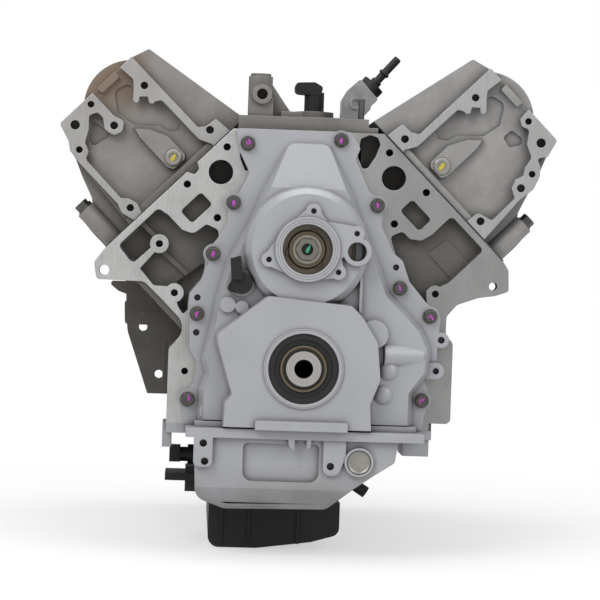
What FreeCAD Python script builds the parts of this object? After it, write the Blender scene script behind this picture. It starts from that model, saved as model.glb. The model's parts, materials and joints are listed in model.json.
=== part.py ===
"""Long block of a 90 degree pushrod V8 engine, as separate pieces in one frame.

Frame: millimetres, +X to the right seen from the front, +Y rearwards, +Z up.
The origin lies on the crank axis, in the plane of the block's front face.
A bank is drawn upright in its own frame: local z climbs the bore, local x points
outwards, and bank() turns it to its place. The left bank lies further back.
"""
import FreeCAD, Part
import math
import os

import Sketcher
from FreeCAD import Placement, Rotation, Vector

doc = FreeCAD.newDocument("v8_engine")
sheet = doc.addObject("Spreadsheet::Sheet", "Sizes")

SIZES = {
    "bore_dia": 96.0, "bore_spacing": 111.76, "stroke": 92.0, "crown_height": 33.0,
    "deck_height": 234.7, "bank_stagger": 24.13, "first_bore": 65.8, "first_main": 22.0,
    "block_length": 500.0, "plate_depth": 16.0, "bank_outer": 66.0, "bank_inner": 121.0,
    "valley_drop": 0.52, "valley_margin": 6.4, "valley_floor": 168.0, "valley_half": 58.0,
    "skirt_half": 142.0, "skirt_wall": 15.0, "pan_rail": -65.0, "crankcase_radius": 88.0,
    "main_journal": 65.0, "rod_journal": 53.3, "main_width": 24.0, "main_shell": 2.4,
    "cap_half": 72.0, "cap_depth": 56.0, "running_gap": 0.04,
    "cam_height": 124.8, "cam_journal": 55.0, "cam_shell": 2.0, "cam_nose": 24.6, "cam_base": 17.4,
    "lifter_dia": 21.4, "lifter_bottom": 113.4, "lifter_length": 60.0, "pushrod_dia": 8.0,
    "gasket": 1.3, "head_length": 470.0, "head_front": -1.5, "head_top": 131.0,
    "chamber_floor": 74.0, "valve_tilt": 12.0, "valve_stem": 8.0,
    "valve_length": 113.0, "intake_valve": 53.0, "exhaust_valve": 40.0, "seat_height": 7.0,
    "intake_offset": -20.5, "exhaust_offset": 27.0, "rocker_width": 15.0,
    "rocker_shaft": 10.0, "crown_gap": 0.8, "wrist_pin": 24.0,
    "cover_flange": 12.0, "cover_face": 50.0, "cam_ring": 60.0,
    "cam_window": 52.6, "window_depth": 10.0, "seal_bore": 74.0, "nose_dia": 37.0, "nose_face": 58.0,
    "chain_plane": 21.0, "chain_width": 12.0, "chain_height": 7.0, "sprocket_teeth": 22.0,
    "chain_pitch": 8.0, "pan_flange": 10.0, "pan_front": 42.0, "pan_wall": 6.0,
    "bolt_head": 15.5, "bolt_shank": 7.6,
}
for row, (alias, number) in enumerate(SIZES.items(), start=1):
    sheet.set(f"A{row}", alias)
    sheet.set(f"B{row}", str(number))
    sheet.setAlias(f"B{row}", alias)
doc.recompute()


class Length:
    """A length with its sheet expression, so that a sketch or a primitive can be bound to it."""

    def __init__(self, text, number):
        self.text = text
        self.number = float(number)

    def _join(self, sign, other, number):
        return Length(f"({self.text} {sign} {as_length(other).text})", number)

    def __add__(self, other):
        return self._join("+", other, self.number + as_length(other).number)

    def __sub__(self, other):
        return self._join("-", other, self.number - as_length(other).number)

    def __mul__(self, other):
        return self._join("*", other, self.number * as_length(other).number)

    def __truediv__(self, other):
        return self._join("/", other, self.number / as_length(other).number)

    def __neg__(self):
        return Length(f"(0 - {self.text})", -self.number)


def as_length(item):
    return item if isinstance(item, Length) else Length(str(item), item)


class Bound:
    """Reads a cell of the sheet as an expression that stays bound to it."""

    def __getattr__(self, alias):
        return Length(f"Sizes.{alias}", sheet.get(alias))


class Plain:
    """Reads a cell of the sheet as a number."""

    def __getattr__(self, alias):
        return float(sheet.get(alias))


Q = Bound()
N = Plain()
NODES = []
LEFT, RIGHT = -1, 1


# Helpers for bodies drawn with sketches

def new_body(label):
    body = doc.addObject("PartDesign::Body", label)
    body.Label = label
    NODES.append(body)
    return body


def new_sketch(body, role):
    sketch = body.newObject("Sketcher::SketchObject", f"{body.Label}_sketch")
    plane = next(item for item in body.Origin.OriginFeatures if item.Role == role)
    sketch.AttachmentSupport = [(plane, "")]
    sketch.MapMode = "FlatFace"
    return sketch


def pin_point(sketch, geometry, point, place):
    """Fixes one point of a sketch at a place given as two bound lengths."""
    for axis, length in zip(("DistanceX", "DistanceY"), map(as_length, place)):
        index = sketch.addConstraint(Sketcher.Constraint(axis, -1, 1, geometry, point, length.number))
        sketch.setExpression(f"Constraints[{index}]", length.text)


def draw_polygon(sketch, points):
    """Closed outline through points given as pairs of bound lengths."""
    corners = [Vector(as_length(a).number, as_length(b).number, 0) for a, b in points]
    first = sketch.GeometryCount
    for start, end in zip(corners, corners[1:] + corners[:1]):
        sketch.addGeometry(Part.LineSegment(start, end), False)
    for index in range(len(points)):
        following = first + (index + 1) % len(points)
        sketch.addConstraint(Sketcher.Constraint("Coincident", first + index, 2, following, 1))
    for index, place in enumerate(points):
        pin_point(sketch, first + index, 1, place)


def revolve(body, points):
    """Turns a profile of (radius, height) points about the body's own Z axis."""
    sketch = new_sketch(body, "XZ_Plane")
    draw_polygon(sketch, points)
    feature = body.newObject("PartDesign::Revolution", f"{body.Label}_turned")
    feature.Profile = sketch
    feature.ReferenceAxis = (sketch, ["V_Axis"])
    feature.Angle = 360
    return feature


# Helpers for castings made of Part shapes

def add_shape(label, shape, place=None):
    feature = doc.addObject("Part::Feature", label)
    feature.Label = label
    feature.Shape = shape
    feature.Placement = place or Placement()
    NODES.append(feature)
    return feature


def outline(points, y=0.0):
    """Closed wire in a plane of constant y through (x, z) or (x, z, corner radius) points."""
    count = len(points)
    places = [Vector(item[0], y, item[1]) for item in points]
    edges = []
    last = None
    begin = None
    for index, item in enumerate(points):
        here = places[index]
        back = (places[index - 1] - here).normalize()
        ahead = (places[(index + 1) % count] - here).normalize()
        radius = item[2] if len(item) > 2 else 0.0
        arc = None
        start = end = here
        if radius:
            half = back.getAngle(ahead) / 2
            middle = (back + ahead).normalize()
            start = here + back * (radius / math.tan(half))
            end = here + ahead * (radius / math.tan(half))
            arc = Part.Arc(start, here + middle * (radius / math.sin(half) - radius), end).toShape()
        if last is None:
            begin = start
        elif (start - last).Length > 1e-6:
            edges.append(Part.LineSegment(last, start).toShape())
        if arc:
            edges.append(arc)
        last = end
    if (begin - last).Length > 1e-6:
        edges.append(Part.LineSegment(last, begin).toShape())
    return Part.Wire(edges)


def prism(points, y_from, y_to):
    return Part.Face(outline(points, y_from)).extrude(Vector(0, y_to - y_from, 0))


def inset(points, distance):
    """The same outline with each side moved inwards, its corner radii kept."""
    count = len(points)
    area = sum(points[i - 1][0] * points[i][1] - points[i][0] * points[i - 1][1] for i in range(count))
    turn = 1 if area > 0 else -1
    result = []
    for index, item in enumerate(points):
        here = Vector(item[0], item[1], 0)
        back = (here - Vector(points[index - 1][0], points[index - 1][1], 0)).normalize()
        ahead = Vector(points[(index + 1) % count][0], points[(index + 1) % count][1], 0) - here
        ahead.normalize()
        normals = Vector(-back.y, back.x, 0) * turn, Vector(-ahead.y, ahead.x, 0) * turn
        middle = (normals[0] + normals[1]).normalize()
        move = here + middle * (distance / middle.dot(normals[0]))
        result.append((move.x, move.y) + tuple(item[2:]))
    return result


def tapered(points, y_from, y_to, draft):
    """Prism whose far end is drawn in by the draft."""
    return Part.makeLoft([outline(points, y_from), outline(inset(points, draft), y_to)], True, True)


def box(x_from, x_to, y_from, y_to, z_from, z_to):
    size = (x_to - x_from, y_to - y_from, z_to - z_from)
    return Part.makeBox(*size, Vector(x_from, y_from, z_from))


def along_y(x, z, radius, y_from, y_to):
    return Part.makeCylinder(radius, y_to - y_from, Vector(x, y_from, z), Vector(0, 1, 0))


def rod_between(start, end, radius):
    return Part.makeCylinder(radius, (end - start).Length, start, end - start)


def turned(points, start, direction):
    """Solid of revolution from (radius, height) points about a line."""
    places = [Vector(radius, 0, height) for radius, height in points]
    face = Part.Face(Part.makePolygon(places + places[:1]))
    solid = face.revolve(Vector(), Vector(0, 0, 1), 360)
    solid.Placement = Placement(start, Rotation(Vector(0, 0, 1), direction))
    return solid


def join(shapes):
    shapes = list(shapes)
    return shapes[0].fuse(shapes[1:]).removeSplitter() if len(shapes) > 1 else shapes[0]


def mirrored(points):
    return [(-item[0],) + tuple(item[1:]) for item in reversed(points)]


def bank(shape, side):
    """Turns a shape drawn upright to the right bank, or mirrors it to the left one."""
    result = shape.transformed(Rotation(Vector(0, 1, 0), 45).toMatrix(), True)
    if side == RIGHT:
        return result
    return shifted(result.mirror(Vector(), Vector(1, 0, 0)), N.bank_stagger)


def shifted(shape, distance):
    """The shape moved rearwards, with the move worked into its geometry."""
    return shape.transformed(Placement(Vector(0, distance, 0), Rotation()).toMatrix(), True)


def mains():
    return [N.first_main + N.bore_spacing * index for index in range(5)]


def bores():
    return [N.first_bore + N.bore_spacing * index for index in range(4)]


def valves():
    """Place along the bank, head diameter and throat side of each valve."""
    rows = []
    for centre in bores():
        rows.append((centre + N.intake_offset, N.intake_valve))
        rows.append((centre + N.exhaust_offset, N.exhaust_valve))
    return rows


LEAN = Vector(-math.sin(math.radians(N.valve_tilt)), 0, math.cos(math.radians(N.valve_tilt)))
LIFTER_X = -N.cam_height / math.sqrt(2)
HEAD_BASE = N.deck_height + N.gasket
ROD_LENGTH = N.deck_height - N.stroke / 2 - N.crown_height - N.crown_gap
VALLEY_RAIL = (N.deck_height + N.bank_inner) / math.sqrt(2) - N.valley_drop
VALLEY_EDGE = (N.deck_height - N.bank_inner) / math.sqrt(2) - N.valley_margin
VALVE_X = -2.0
HEAD_BOLT = 5.5
END_BOLT = 14.0
EXHAUST_SEAT = 46.0
CAP_BOLTS = (-63.0, -42.0, 42.0, 63.0)
CAP_SHELF = -32.0
CAP_THREAD = 34.0
NOSE_THREAD = 9.7
BELL_BOLTS = [(-186, 100), (-180, 20), (-158, -40), (158, -40), (180, 20), (186, 100), (-70, 225), (70, 225)]
PLUG_PLACE = (-53.0, 21.5)
PLUG_RADIUS = 9.4
SENSOR_PLACE = (-67, 87)


def world(x, height):
    """Place across the engine of a point in the right bank's upright frame."""
    return ((x + height) / math.sqrt(2), (height - x) / math.sqrt(2))


def over_deck(points):
    """Points given as heights over the deck, moved up to the bank's frame."""
    return [(item[0], N.deck_height + item[1]) + tuple(item[2:]) for item in points]


# Engine block

def front_outline():
    """Front face: both deck lines, an ear at the foot of each bank, skirt and right wing."""
    deck_in = world(-N.bank_inner, N.deck_height)
    deck_out = world(N.bank_outer + 1, N.deck_height)
    left = [(-deck_in[0], VALLEY_RAIL), (-deck_out[0], deck_out[1]), (-224, 104, 6), (-221, 86, 4),
            (-170, 85, 10), (-152, 68, 10), (-122, 38, 18), (-N.skirt_half, 14, 10),
            (-N.skirt_half, N.pan_rail)]
    right = [(139, N.pan_rail), (139, -57), (162, -57, 6), (162, 30, 8), (154, 38, 4), (154, 58, 6),
             (165, 71, 10), (187, 79, 10), (206, 82, 4), (220, 87, 4), (219, 110, 4),
             deck_out, (deck_in[0], VALLEY_RAIL)]
    return left + right


def rear_outline():
    deck_in = world(-N.bank_inner, N.deck_height)
    deck_out = world(N.bank_outer - 16, N.deck_height)
    half = [(deck_in[0], VALLEY_RAIL), deck_out, (206, 110, 20), (200, 15, 40),
            (N.skirt_half + 30, N.pan_rail)]
    return half + mirrored(half)


def skirt_outline(wall):
    half = N.skirt_half - wall
    base = N.pan_rail - wall
    right = [(half, base), (half, 14 - wall / 3), (118 - wall, 42), (60 - wall, 104 - wall)]
    return right + mirrored(right)


def port_pocket(points, depth):
    """Recess in the front face, drawn as (x, height over the deck, corner radius)."""
    return prism(over_deck(points), -1, depth)


def block_cuts():
    cuts = []
    low = N.pan_rail - 1
    half_cap = N.main_width / 2 + 1
    for index in range(4):
        start = mains()[index] + N.main_width / 2
        end = mains()[index + 1] - N.main_width / 2
        cuts.append(prism(skirt_outline(N.skirt_wall), start, end))
        cuts.append(along_y(0, 0, N.crankcase_radius, start, end))
    for place in mains():
        for x in CAP_BOLTS:
            cuts.append(rod_between(Vector(x, place, -1), Vector(x, place, CAP_THREAD + 1), 5.5))
    for index, place in enumerate(mains()):
        start = -1 if index == 0 else place - half_cap
        end = N.block_length + 1 if index == 4 else place + half_cap
        cuts.append(box(-N.cap_half, N.cap_half, start, end, low, 0))
    cuts.append(along_y(0, 0, N.main_journal / 2 + N.main_shell, -1, N.block_length + 1))
    cuts.append(along_y(0, 0, 52, mains()[4] + half_cap, N.block_length + 1))
    cuts.append(along_y(0, N.cam_height, N.cam_journal / 2 + N.cam_shell, -1, mains()[4] + 12))
    half, floor, rail = N.valley_half, N.valley_floor, VALLEY_RAIL
    valley = [(half - 38, floor, 12), (half, floor + 38, 12), (half, rail + 2)]
    cuts.append(prism(valley + mirrored(valley), 22, N.block_length - 22))
    for side in (RIGHT, LEFT):
        local = []
        for place in bores():
            local.append(Part.makeCylinder(N.bore_dia / 2, N.deck_height - 58, Vector(0, place, 59)))
        for place, _ in valves():
            at = Vector(LIFTER_X, place, N.cam_height / math.sqrt(2) + 8)
            local.append(Part.makeCylinder(N.lifter_dia / 2, 96, at))
            local.append(Part.makeCylinder(N.pushrod_dia / 2 + 3, N.deck_height, at))
        for x, place in head_bolt_places():
            local.append(Part.makeCylinder(HEAD_BOLT, 63, Vector(x, place, N.deck_height - 62)))
        cuts.append(bank(Part.makeCompound(local), side))
    return cuts


PORT = [(-49, -26, 4), (-19, -26, 4), (-19, -44, 4), (-49, -44, 4)]
RIGHT_POCKET = [(-36, -70, 4), (-31, -57, 4), (-20, -57, 5), (-10, -49, 6), (-7, -36, 6), (-7, -7.2, 5),
                (43.2, -7.2, 5), (43.2, -58, 6), (40, -68, 4), (33, -74, 3), (33, -82, 3), (37, -86, 2),
                (44, -91, 2), (41, -94, 2), (25, -90, 3), (5, -88, 5), (-3, -81, 5), (-16, -80, 4), (-27, -75, 5)]
RIGHT_PANEL = [(7, -52), (9, -28), (44, -28), (44, -52)]
RIGHT_DEPTH = 12.0
LEFT_POCKET = [(54, -7.5, 5), (-4, -7.5, 5), (-7, -20, 3), (-7, -42, 8), (-13, -53, 8), (-30, -55, 4), (-35, -68, 5),
               (-30, -74, 3), (-8, -76, 4), (1, -86, 4), (12, -94, 4), (33, -96, 4), (41, -102, 3), (47, -108, 2),
               (54, -108, 2), (52, -98, 2), (46, -86), (46, -75, 3), (56, -64, 6), (54, -41, 2), (51, -37),
               (56, -28, 5)]
LEFT_CELL = [(53, -8.5, 4), (20, -10, 3), (19.5, -28, 3), (31, -34, 2), (51, -33, 2), (55, -28, 4)]
LEFT_SHADE = [(36, -78, 3), (0, -83, 1), (3, -87, 2), (12, -93, 3), (33, -95, 3), (41, -101, 2), (47, -107, 1),
              (52, -106, 1)]
LEFT_DEPTH = 15.0
DECK_NOTCH = [(-52, 1), (-69, 1), (-64, -7, 2), (-57, -8, 2)]
EDGE_SLOT = [(-108, -23, 2), (-112, -27, 2), (-106, -41, 2), (-101, -44, 2), (-99, -41, 2), (-104, -29, 2)]
PASSAGE = [(-134, -22, 4), (-130, -12, 5), (-122, -8, 4), (-115, -11, 4), (-109, -24, 5), (-106, -38, 4),
           (-109, -43, 3), (-122, -38, 4)]


def head_bolt_places():
    """Ten main bolts a bank: five stations between and beyond the bores, two rows."""
    stations = [N.first_bore + N.bore_spacing * (index - 0.5) for index in range(5)]
    stations[0] += END_BOLT
    stations[4] -= END_BOLT
    return [(x, place) for place in stations for x in (-50.0, 54.0)]


def front_details(block):
    """Ports, recesses with their ribs, bosses and threaded holes of the two bank faces."""
    deck = N.deck_height
    recesses, adds, holes = [], [], []
    for side in (RIGHT, LEFT):
        recesses.append(face_bank(port_pocket(PORT, 11), side))
        holes.append(face_bank(along_y(-79, deck - 25, 13, -1, 34), side))
        for x, height in ((-102, -10), (-44, -10), (-43, -58)):
            holes.append(face_bank(along_y(x, deck + height, 3.9, -1, 22), side))
    for side, pocket, depth in ((RIGHT, RIGHT_POCKET, RIGHT_DEPTH), (RIGHT, PASSAGE, 24), (LEFT, LEFT_POCKET, LEFT_DEPTH),
                                (LEFT, LEFT_CELL, LEFT_DEPTH + 4), (LEFT, LEFT_SHADE, LEFT_DEPTH + 6),
                                (LEFT, DECK_NOTCH, 6), (LEFT, EDGE_SLOT, 12)):
        recesses.append(face_bank(port_pocket(pocket, depth), side))
    for side, rib, crest, foot in (
            (LEFT, [(28, -33), (28, -39), (55, -41), (55, -32)], 0, LEFT_DEPTH + 5),
            (LEFT, [(17.5, -7), (21.5, -7), (21, -30), (17, -30)], LEFT_DEPTH - 6, LEFT_DEPTH + 5),
            (LEFT, [(22.5, -44), (26.5, -44), (24, -80), (20, -80)], LEFT_DEPTH - 4, LEFT_DEPTH + 7),
            (RIGHT, RIGHT_PANEL, RIGHT_DEPTH - 1.6, RIGHT_DEPTH + 1)):
        adds.append(face_bank(prism(over_deck(rib), crest, foot), side))
    for side, x, height, radius in ((LEFT, 21, -36, 10), (LEFT, 45, -85, 10), (RIGHT, 42, -77, 9)):
        adds.append(face_bank(along_y(x, deck + height, radius, 0, LEFT_DEPTH + 1), side))
        holes.append(face_bank(along_y(x, deck + height, 3.8, -1, 13), side))
    adds.append(along_y(-124, -9, 9.6, 0, 14))
    holes.append(along_y(-124, -9, 3.6, -1, 20))
    holes.append(along_y(-213, 96, 5.4, -1, 30))
    holes.append(along_y(203, 92, 4.4, -1, 30))
    return block.cut(recesses).fuse(adds).cut(holes)


def face_bank(shape, side):
    """Like bank(), for what lies in the common front face and isn't shifted back."""
    result = bank(shape, side)
    return result if side == RIGHT else shifted(result, -N.bank_stagger)


def engine_block():
    deck = N.deck_height
    solids = [prism(front_outline(), 0, N.plate_depth)]
    tall = [(-N.bank_inner, 60), (N.bank_outer, 60), (N.bank_outer, deck), (-N.bank_inner, deck)]
    end = N.block_length - N.bank_stagger
    solids.append(bank(prism(tall, 2, end), RIGHT))
    solids.append(bank(prism(tall, 2 - N.bank_stagger, end), LEFT))
    solids.append(prism(skirt_outline(0), 2, N.block_length))
    solids.append(box(-VALLEY_EDGE - 6, VALLEY_EDGE + 6, 2, N.block_length, 90, VALLEY_RAIL))
    solids.append(prism(rear_outline(), N.block_length - 12, N.block_length))
    for x in (-N.skirt_half - 8, N.skirt_half - 2):
        solids.append(box(x, x + 10, 205, 300, -32, 38))
    block = solids[0].fuse(solids[1:])
    block = block.cut(block_cuts())
    block = front_details(block)
    holes = []
    for side in (LEFT, RIGHT):
        for y in (220, 285):
            for height in (-20, 26):
                start = Vector(side * (N.skirt_half - 4), y, height)
                holes.append(rod_between(start, start + Vector(side * 14, 0, 0), 4.4))
    for x, height in BELL_BOLTS:
        holes.append(along_y(x, height, 5.4, N.block_length - 20, N.block_length + 1))
    return block.cut(holes).removeSplitter()


add_shape("engine_block", engine_block())


# Cylinder heads

HEAD_WALL = 10.0
INNER_RAIL = [(-94, 131), (-77, 131), (-79, 112, 5), (-72, 104, 4), (-63, 95.5, 2), (-63.5, 91.5, 1.5),
              (-67, 90.5, 1.5), (-71, 94, 1), (-77.5, 88, 1), (-74, 82, 1.5), (-76, 78.5, 1.5), (-80, 78.5, 1.5),
              (-86, 75, 4), (-86.5, 17, 8), (-92, 6, 6), (-98, 1.3), (-117, 1.3), (-115, 21, 2), (-102, 22, 3),
              (-94.5, 27, 4)]
OUTER_RAIL = {
    LEFT: [(-37, 131), (11, 131, 4), (17, 111, 4), (23, 102, 4), (24.5, 88, 4), (24.5, 26, 4), (28, 16, 6),
           (24, 1.3), (12, 1.3), (9, 12, 6), (12, 22, 4), (18, 28, 4), (17, 84, 4), (9, 88, 4), (5, 98, 5),
           (-7, 105, 4), (-18, 116, 4), (-27, 112, 4), (-27, 104, 3), (-19.5, 93, 4), (-23, 82, 4), (-32, 79, 4),
           (-41, 86, 4), (-37, 98, 4)],
    RIGHT: [(-34, 131), (11, 131, 4), (17, 111, 4), (10, 102, 3), (20, 98, 4), (27, 90, 5), (32, 76, 5),
            (30, 58, 5), (35, 1.3), (8, 1.3), (10, 16, 4), (26, 21, 4), (25.5, 55, 4), (15, 60, 4), (11, 70, 4),
            (14, 78, 3), (9, 85, 4), (6, 98, 5), (-8, 104, 5), (-18, 117, 4), (-26, 113, 4), (-33, 117, 4)],
}
RAIL_HOLES = {
    LEFT: [(-83, 99, 4), (-102, 16.4, 4.2), (-27.4, 123.2, 3.6), (0, 118.6, 5), (14.9, 96.2, 3.6),
           (-30, 89.8, 4.2), (17.6, 13.6, 3.9)],
    RIGHT: [(-82.2, 97.6, 4), (-101.5, 12, 4.2), (-25, 122, 3.6), (1.2, 116.2, 5), (19, 86.4, 3.6),
            (21.8, 67.4, 4.3), (18, 11.5, 4.3)],
}
HOLLOW = {
    LEFT: [(-20, 96, 4), (-21, 85, 4), (3, 89, 5), (-1, 101, 4), (-9, 103, 3), (-17, 112, 3)],
    RIGHT: [(-31, 92, 4), (-30, 104, 4), (-16, 106, 4), (-11, 101, 3), (-18, 89, 4)],
}
UPPER_HOLLOW = [(-85, 42, 3), (-77, 39, 3), (-69, 45, 3), (-66, 56, 4), (-46, 77, 5), (-42, 98, 8), (-56, 118, 8),
                (-76, 112, 6), (-70, 102, 4), (-76, 84, 2), (-85, 78, 3)]
PLUG_PAD = [(-66, 15, 5), (-66, 42, 4), (-56, 62, 6), (-43, 75), (-40, 62, 3), (-40, 18, 5), (-44, 10.5, 4),
            (-61, 10.5, 4)]


def head_outline():
    top = N.head_top
    return over_deck([(-138, N.gasket), (-114, top - 6, 3), (-94, top, 4), (11, top, 4), (17, top - 20, 4),
                      (32, 76, 10), (41, 50, 4), (44.5, EXHAUST_SEAT), (64, EXHAUST_SEAT, 3),
                      (N.bank_outer, 24, 6),
                      (N.bank_outer, N.gasket)])


def valve_seat(place):
    return Vector(VALVE_X, place, HEAD_BASE + N.seat_height)


def head_cuts(front, end):
    """Rocker chamber, valve seats, guides, ports and bolt holes."""
    floor = N.deck_height + N.chamber_floor
    top = N.deck_height + N.head_top + 1
    cuts = [prism([(-102, floor, 8), (3, floor, 8), (3, top), (-102, top)], front + 15,
                  end - 15)]
    for place, head in valves():
        seat = valve_seat(place)
        cuts.append(rod_between(seat - LEAN * 24, seat, head / 2 + 1))
        cuts.append(rod_between(seat - LEAN, seat + LEAN * 26, head / 2 - 3))
        cuts.append(rod_between(seat, seat + LEAN * 120, N.valve_stem / 2 + N.running_gap))
        at = Vector(LIFTER_X, place, HEAD_BASE - 1)
        cuts.append(Part.makeCylinder(N.pushrod_dia / 2 + 3, N.chamber_floor + 4, at))
    for centre in bores():
        middle = centre + 3
        cuts.append(box(-150, -48, middle - 13, middle + 13, HEAD_BASE + 20, HEAD_BASE + 58))
        bend = Vector(-52, middle, HEAD_BASE + 39)
        cuts.append(rod_between(bend, Vector(VALVE_X - 5, centre + N.intake_offset, HEAD_BASE + 24), 13))
        throat = Vector(VALVE_X - 3, centre + N.exhaust_offset, HEAD_BASE + 22)
        cuts.append(rod_between(throat, throat + Vector(60, 0, 56), 14))
        plug = Vector(56, centre + 3, HEAD_BASE + 62)
        inner = Vector(12, centre + 3, HEAD_BASE + 2)
        cuts.append(rod_between(inner, plug, 7))
    for x, place in head_bolt_places():
        seat = N.chamber_floor if x < 0 else EXHAUST_SEAT
        cuts.append(Part.makeCylinder(HEAD_BOLT, seat + 3, Vector(x, place, HEAD_BASE - 1)))
    return cuts


def head_face(side, front):
    """Cast front wall, the machined rails that stand proud of it and the pad of the core plug."""
    wall = front + HEAD_WALL
    adds = [prism(over_deck(INNER_RAIL), front, wall + 2), prism(over_deck(OUTER_RAIL[side]), front, wall + 2)]
    adds.append(tapered(over_deck(PLUG_PAD), wall + 1, front + 3, 1.5))
    adds.append(prism(over_deck([(-94, N.gasket), (30, N.gasket), (30, 8, 2), (-94, 8, 2)]), front + 3, wall + 2))
    adds.append(prism(over_deck([(-117, N.gasket), (-93, N.gasket), (-93, 21), (-115, 21, 2)]), front, front + 30))
    adds.append(prism(over_deck([(-70, 124, 2), (-44, 124, 2), (-44, 132), (-70, 132)]), front + 4, wall + 2))
    hump = along_y(-57, N.deck_height + 92, 51, wall + 1, wall + 5)
    adds.append(hump.common(box(-110, 0, wall, wall + 9, N.deck_height + N.head_top - 4, N.deck_height + 160)))
    if side == LEFT:
        adds.append(prism(over_deck([(-74, 74, 2), (-66, 70, 2), (-52, 84, 2), (-58, 92, 2)]), front + 5, wall + 2))
    cuts = [prism(over_deck(HOLLOW[side]), front, wall + 3.5), prism(over_deck(UPPER_HOLLOW), front + 3, wall + 3)]
    cuts += [along_y(x, N.deck_height + height, radius, front - 1, wall + 3) for x, height, radius in RAIL_HOLES[side]]
    cuts.append(along_y(PLUG_PLACE[0], N.deck_height + PLUG_PLACE[1], PLUG_RADIUS, front + 2, front + 5.6))
    return adds, cuts


def cylinder_head(side):
    """Head between its two end walls; the exhaust flank starts further back than the rails."""
    front, end = N.head_front, N.head_front + N.head_length
    head = prism(head_outline(), front + HEAD_WALL, end - HEAD_WALL)
    flank = over_deck([(31, 0), (80, 0), (80, 140), (24.5, 140), (24.5, 88)])
    head = head.cut([prism(flank, y, y + 16) for y in (front + HEAD_WALL - 1, end - HEAD_WALL - 15)])
    adds, cuts = head_face(side, front)
    rear = [INNER_RAIL, OUTER_RAIL[side]]
    adds += [prism(over_deck(rail), end - HEAD_WALL - 2, end) for rail in rear]
    adds.append(prism(over_deck([(-117, N.gasket), (-93, N.gasket), (-93, 21), (-115, 21, 2)]), end - 30, end))
    cuts += [along_y(x, N.deck_height + height, radius, end - 14, end + 1) for x, height, radius in RAIL_HOLES[side]]
    places = [place for place in head_bolt_places() if place[0] > 0]
    for x, y in (min(places, key=lambda place: place[1]), max(places, key=lambda place: place[1])):
        adds.append(Part.makeCylinder(11, EXHAUST_SEAT - N.gasket, Vector(x, y, HEAD_BASE)))
    head = head.fuse(adds).cut(cuts + head_cuts(front, end))
    return bank(head.removeSplitter(), side)


def head_gasket(side):
    """Sheet between deck and head, open at the bores, pushrods and bolts."""
    deck, front = N.deck_height, N.head_front + 1
    sheet_solid = box(-118, N.bank_outer, front, front + N.head_length - 2, deck, HEAD_BASE)
    cuts = [Part.makeCylinder(N.bore_dia / 2 + 0.5, 9, Vector(0, place, deck - 4)) for place in bores()]
    for place, _ in valves():
        cuts.append(Part.makeCylinder(N.pushrod_dia / 2 + 4, 9, Vector(LIFTER_X, place, deck - 4)))
    for x, place in head_bolt_places():
        cuts.append(Part.makeCylinder(HEAD_BOLT, 9, Vector(x, place, deck - 4)))
    return bank(sheet_solid.cut(cuts), side)


def flange_bolt(start, direction, head_radius, head_height, shank_radius, length):
    """Hexagon head on a round washer face with a shank that runs along the direction."""
    washer = turned([(0, 0), (head_radius, 0), (head_radius, 1.6), (0, 1.6)], start, -direction)
    cap = Part.Face(hexagon(head_radius * 0.86)).extrude(Vector(0, 0, head_height))
    cap.Placement = Placement(start, Rotation(Vector(0, 0, 1), -direction))
    return join([washer, cap, rod_between(start - direction * 0.5, start + direction * length, shank_radius)])


def hexagon(radius):
    corners = [Vector(radius * math.cos(math.radians(60 * k)), radius * math.sin(math.radians(60 * k)), 0)
               for k in range(6)]
    return Part.makePolygon(corners + corners[:1])


def head_bolts(side):
    bolts = []
    for x, place in head_bolt_places():
        seat = N.deck_height + (N.chamber_floor if x < 0 else EXHAUST_SEAT)
        start = Vector(x, place, seat)
        bolts.append(flange_bolt(start, Vector(0, 0, -1), 9, 9, HEAD_BOLT - 0.05, seat - N.deck_height + 58))
    return bank(Part.makeCompound(bolts), side)


for side, word in ((LEFT, "left"), (RIGHT, "right")):
    add_shape(f"cylinder_head_{word}", cylinder_head(side))
add_shape("head_gaskets", Part.makeCompound([head_gasket(LEFT), head_gasket(RIGHT)]))
add_shape("head_bolts", Part.makeCompound([head_bolts(LEFT), head_bolts(RIGHT)]))


# Valve gear

PAD_RADIUS = 6.0
ROCKER_X, ROCKER_HEIGHT = -66.0, 116.0


def stem_tip(place):
    return valve_seat(place) + LEAN * N.valve_length


def valve(place, head):
    """Poppet valve with its spring retainer, closed."""
    stem = N.valve_stem / 2
    edge = head / 2
    points = [(0, -3), (edge, -3), (edge, -0.4), (edge - 3.4, 0), (stem + 2, 14), (stem, 22),
              (stem, 104), (13, 104), (13, 107), (8, 110), (stem, 110), (stem, N.valve_length),
              (0, N.valve_length)]
    return turned(points, valve_seat(place), LEAN)


def valve_spring(place):
    """Space of a closed coil spring from its seat to the retainer."""
    foot = (N.chamber_floor - N.gasket - N.seat_height) / math.cos(math.radians(N.valve_tilt)) + 3.2
    points = [(9.8, foot), (12.6, foot), (12.6, 103.6), (9.8, 103.6)]
    return turned(points, valve_seat(place), LEAN)


def rocker(place):
    """Arm drawn from the side: pad over the stem tip, bore for the shaft, foot over the pushrod."""
    tip = stem_tip(place) + LEAN * (PAD_RADIUS + 0.15)
    height = N.deck_height + ROCKER_HEIGHT
    half = N.rocker_width / 2
    body = [(LIFTER_X - 5, height + 3, 3), (ROCKER_X - 4, height + 9, 4), (ROCKER_X + 10, height + 10, 6),
            (tip.x - 2, tip.z + 5, 3), (tip.x + 3, tip.z - 2, 2), (ROCKER_X + 14, height - 4, 6),
            (ROCKER_X, height - 9, 6), (LIFTER_X + 4, height - 3, 2)]
    arm = prism(body, place - half, place + half)
    arm = arm.fuse([along_y(tip.x, tip.z, PAD_RADIUS, place - half, place + half),
                    along_y(LIFTER_X, height + 2, 6, place - half, place + half)])
    bore = along_y(ROCKER_X, height, N.rocker_shaft / 2 + N.running_gap, place - half - 1, place + half + 1)
    return arm.cut(bore).removeSplitter()


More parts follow.
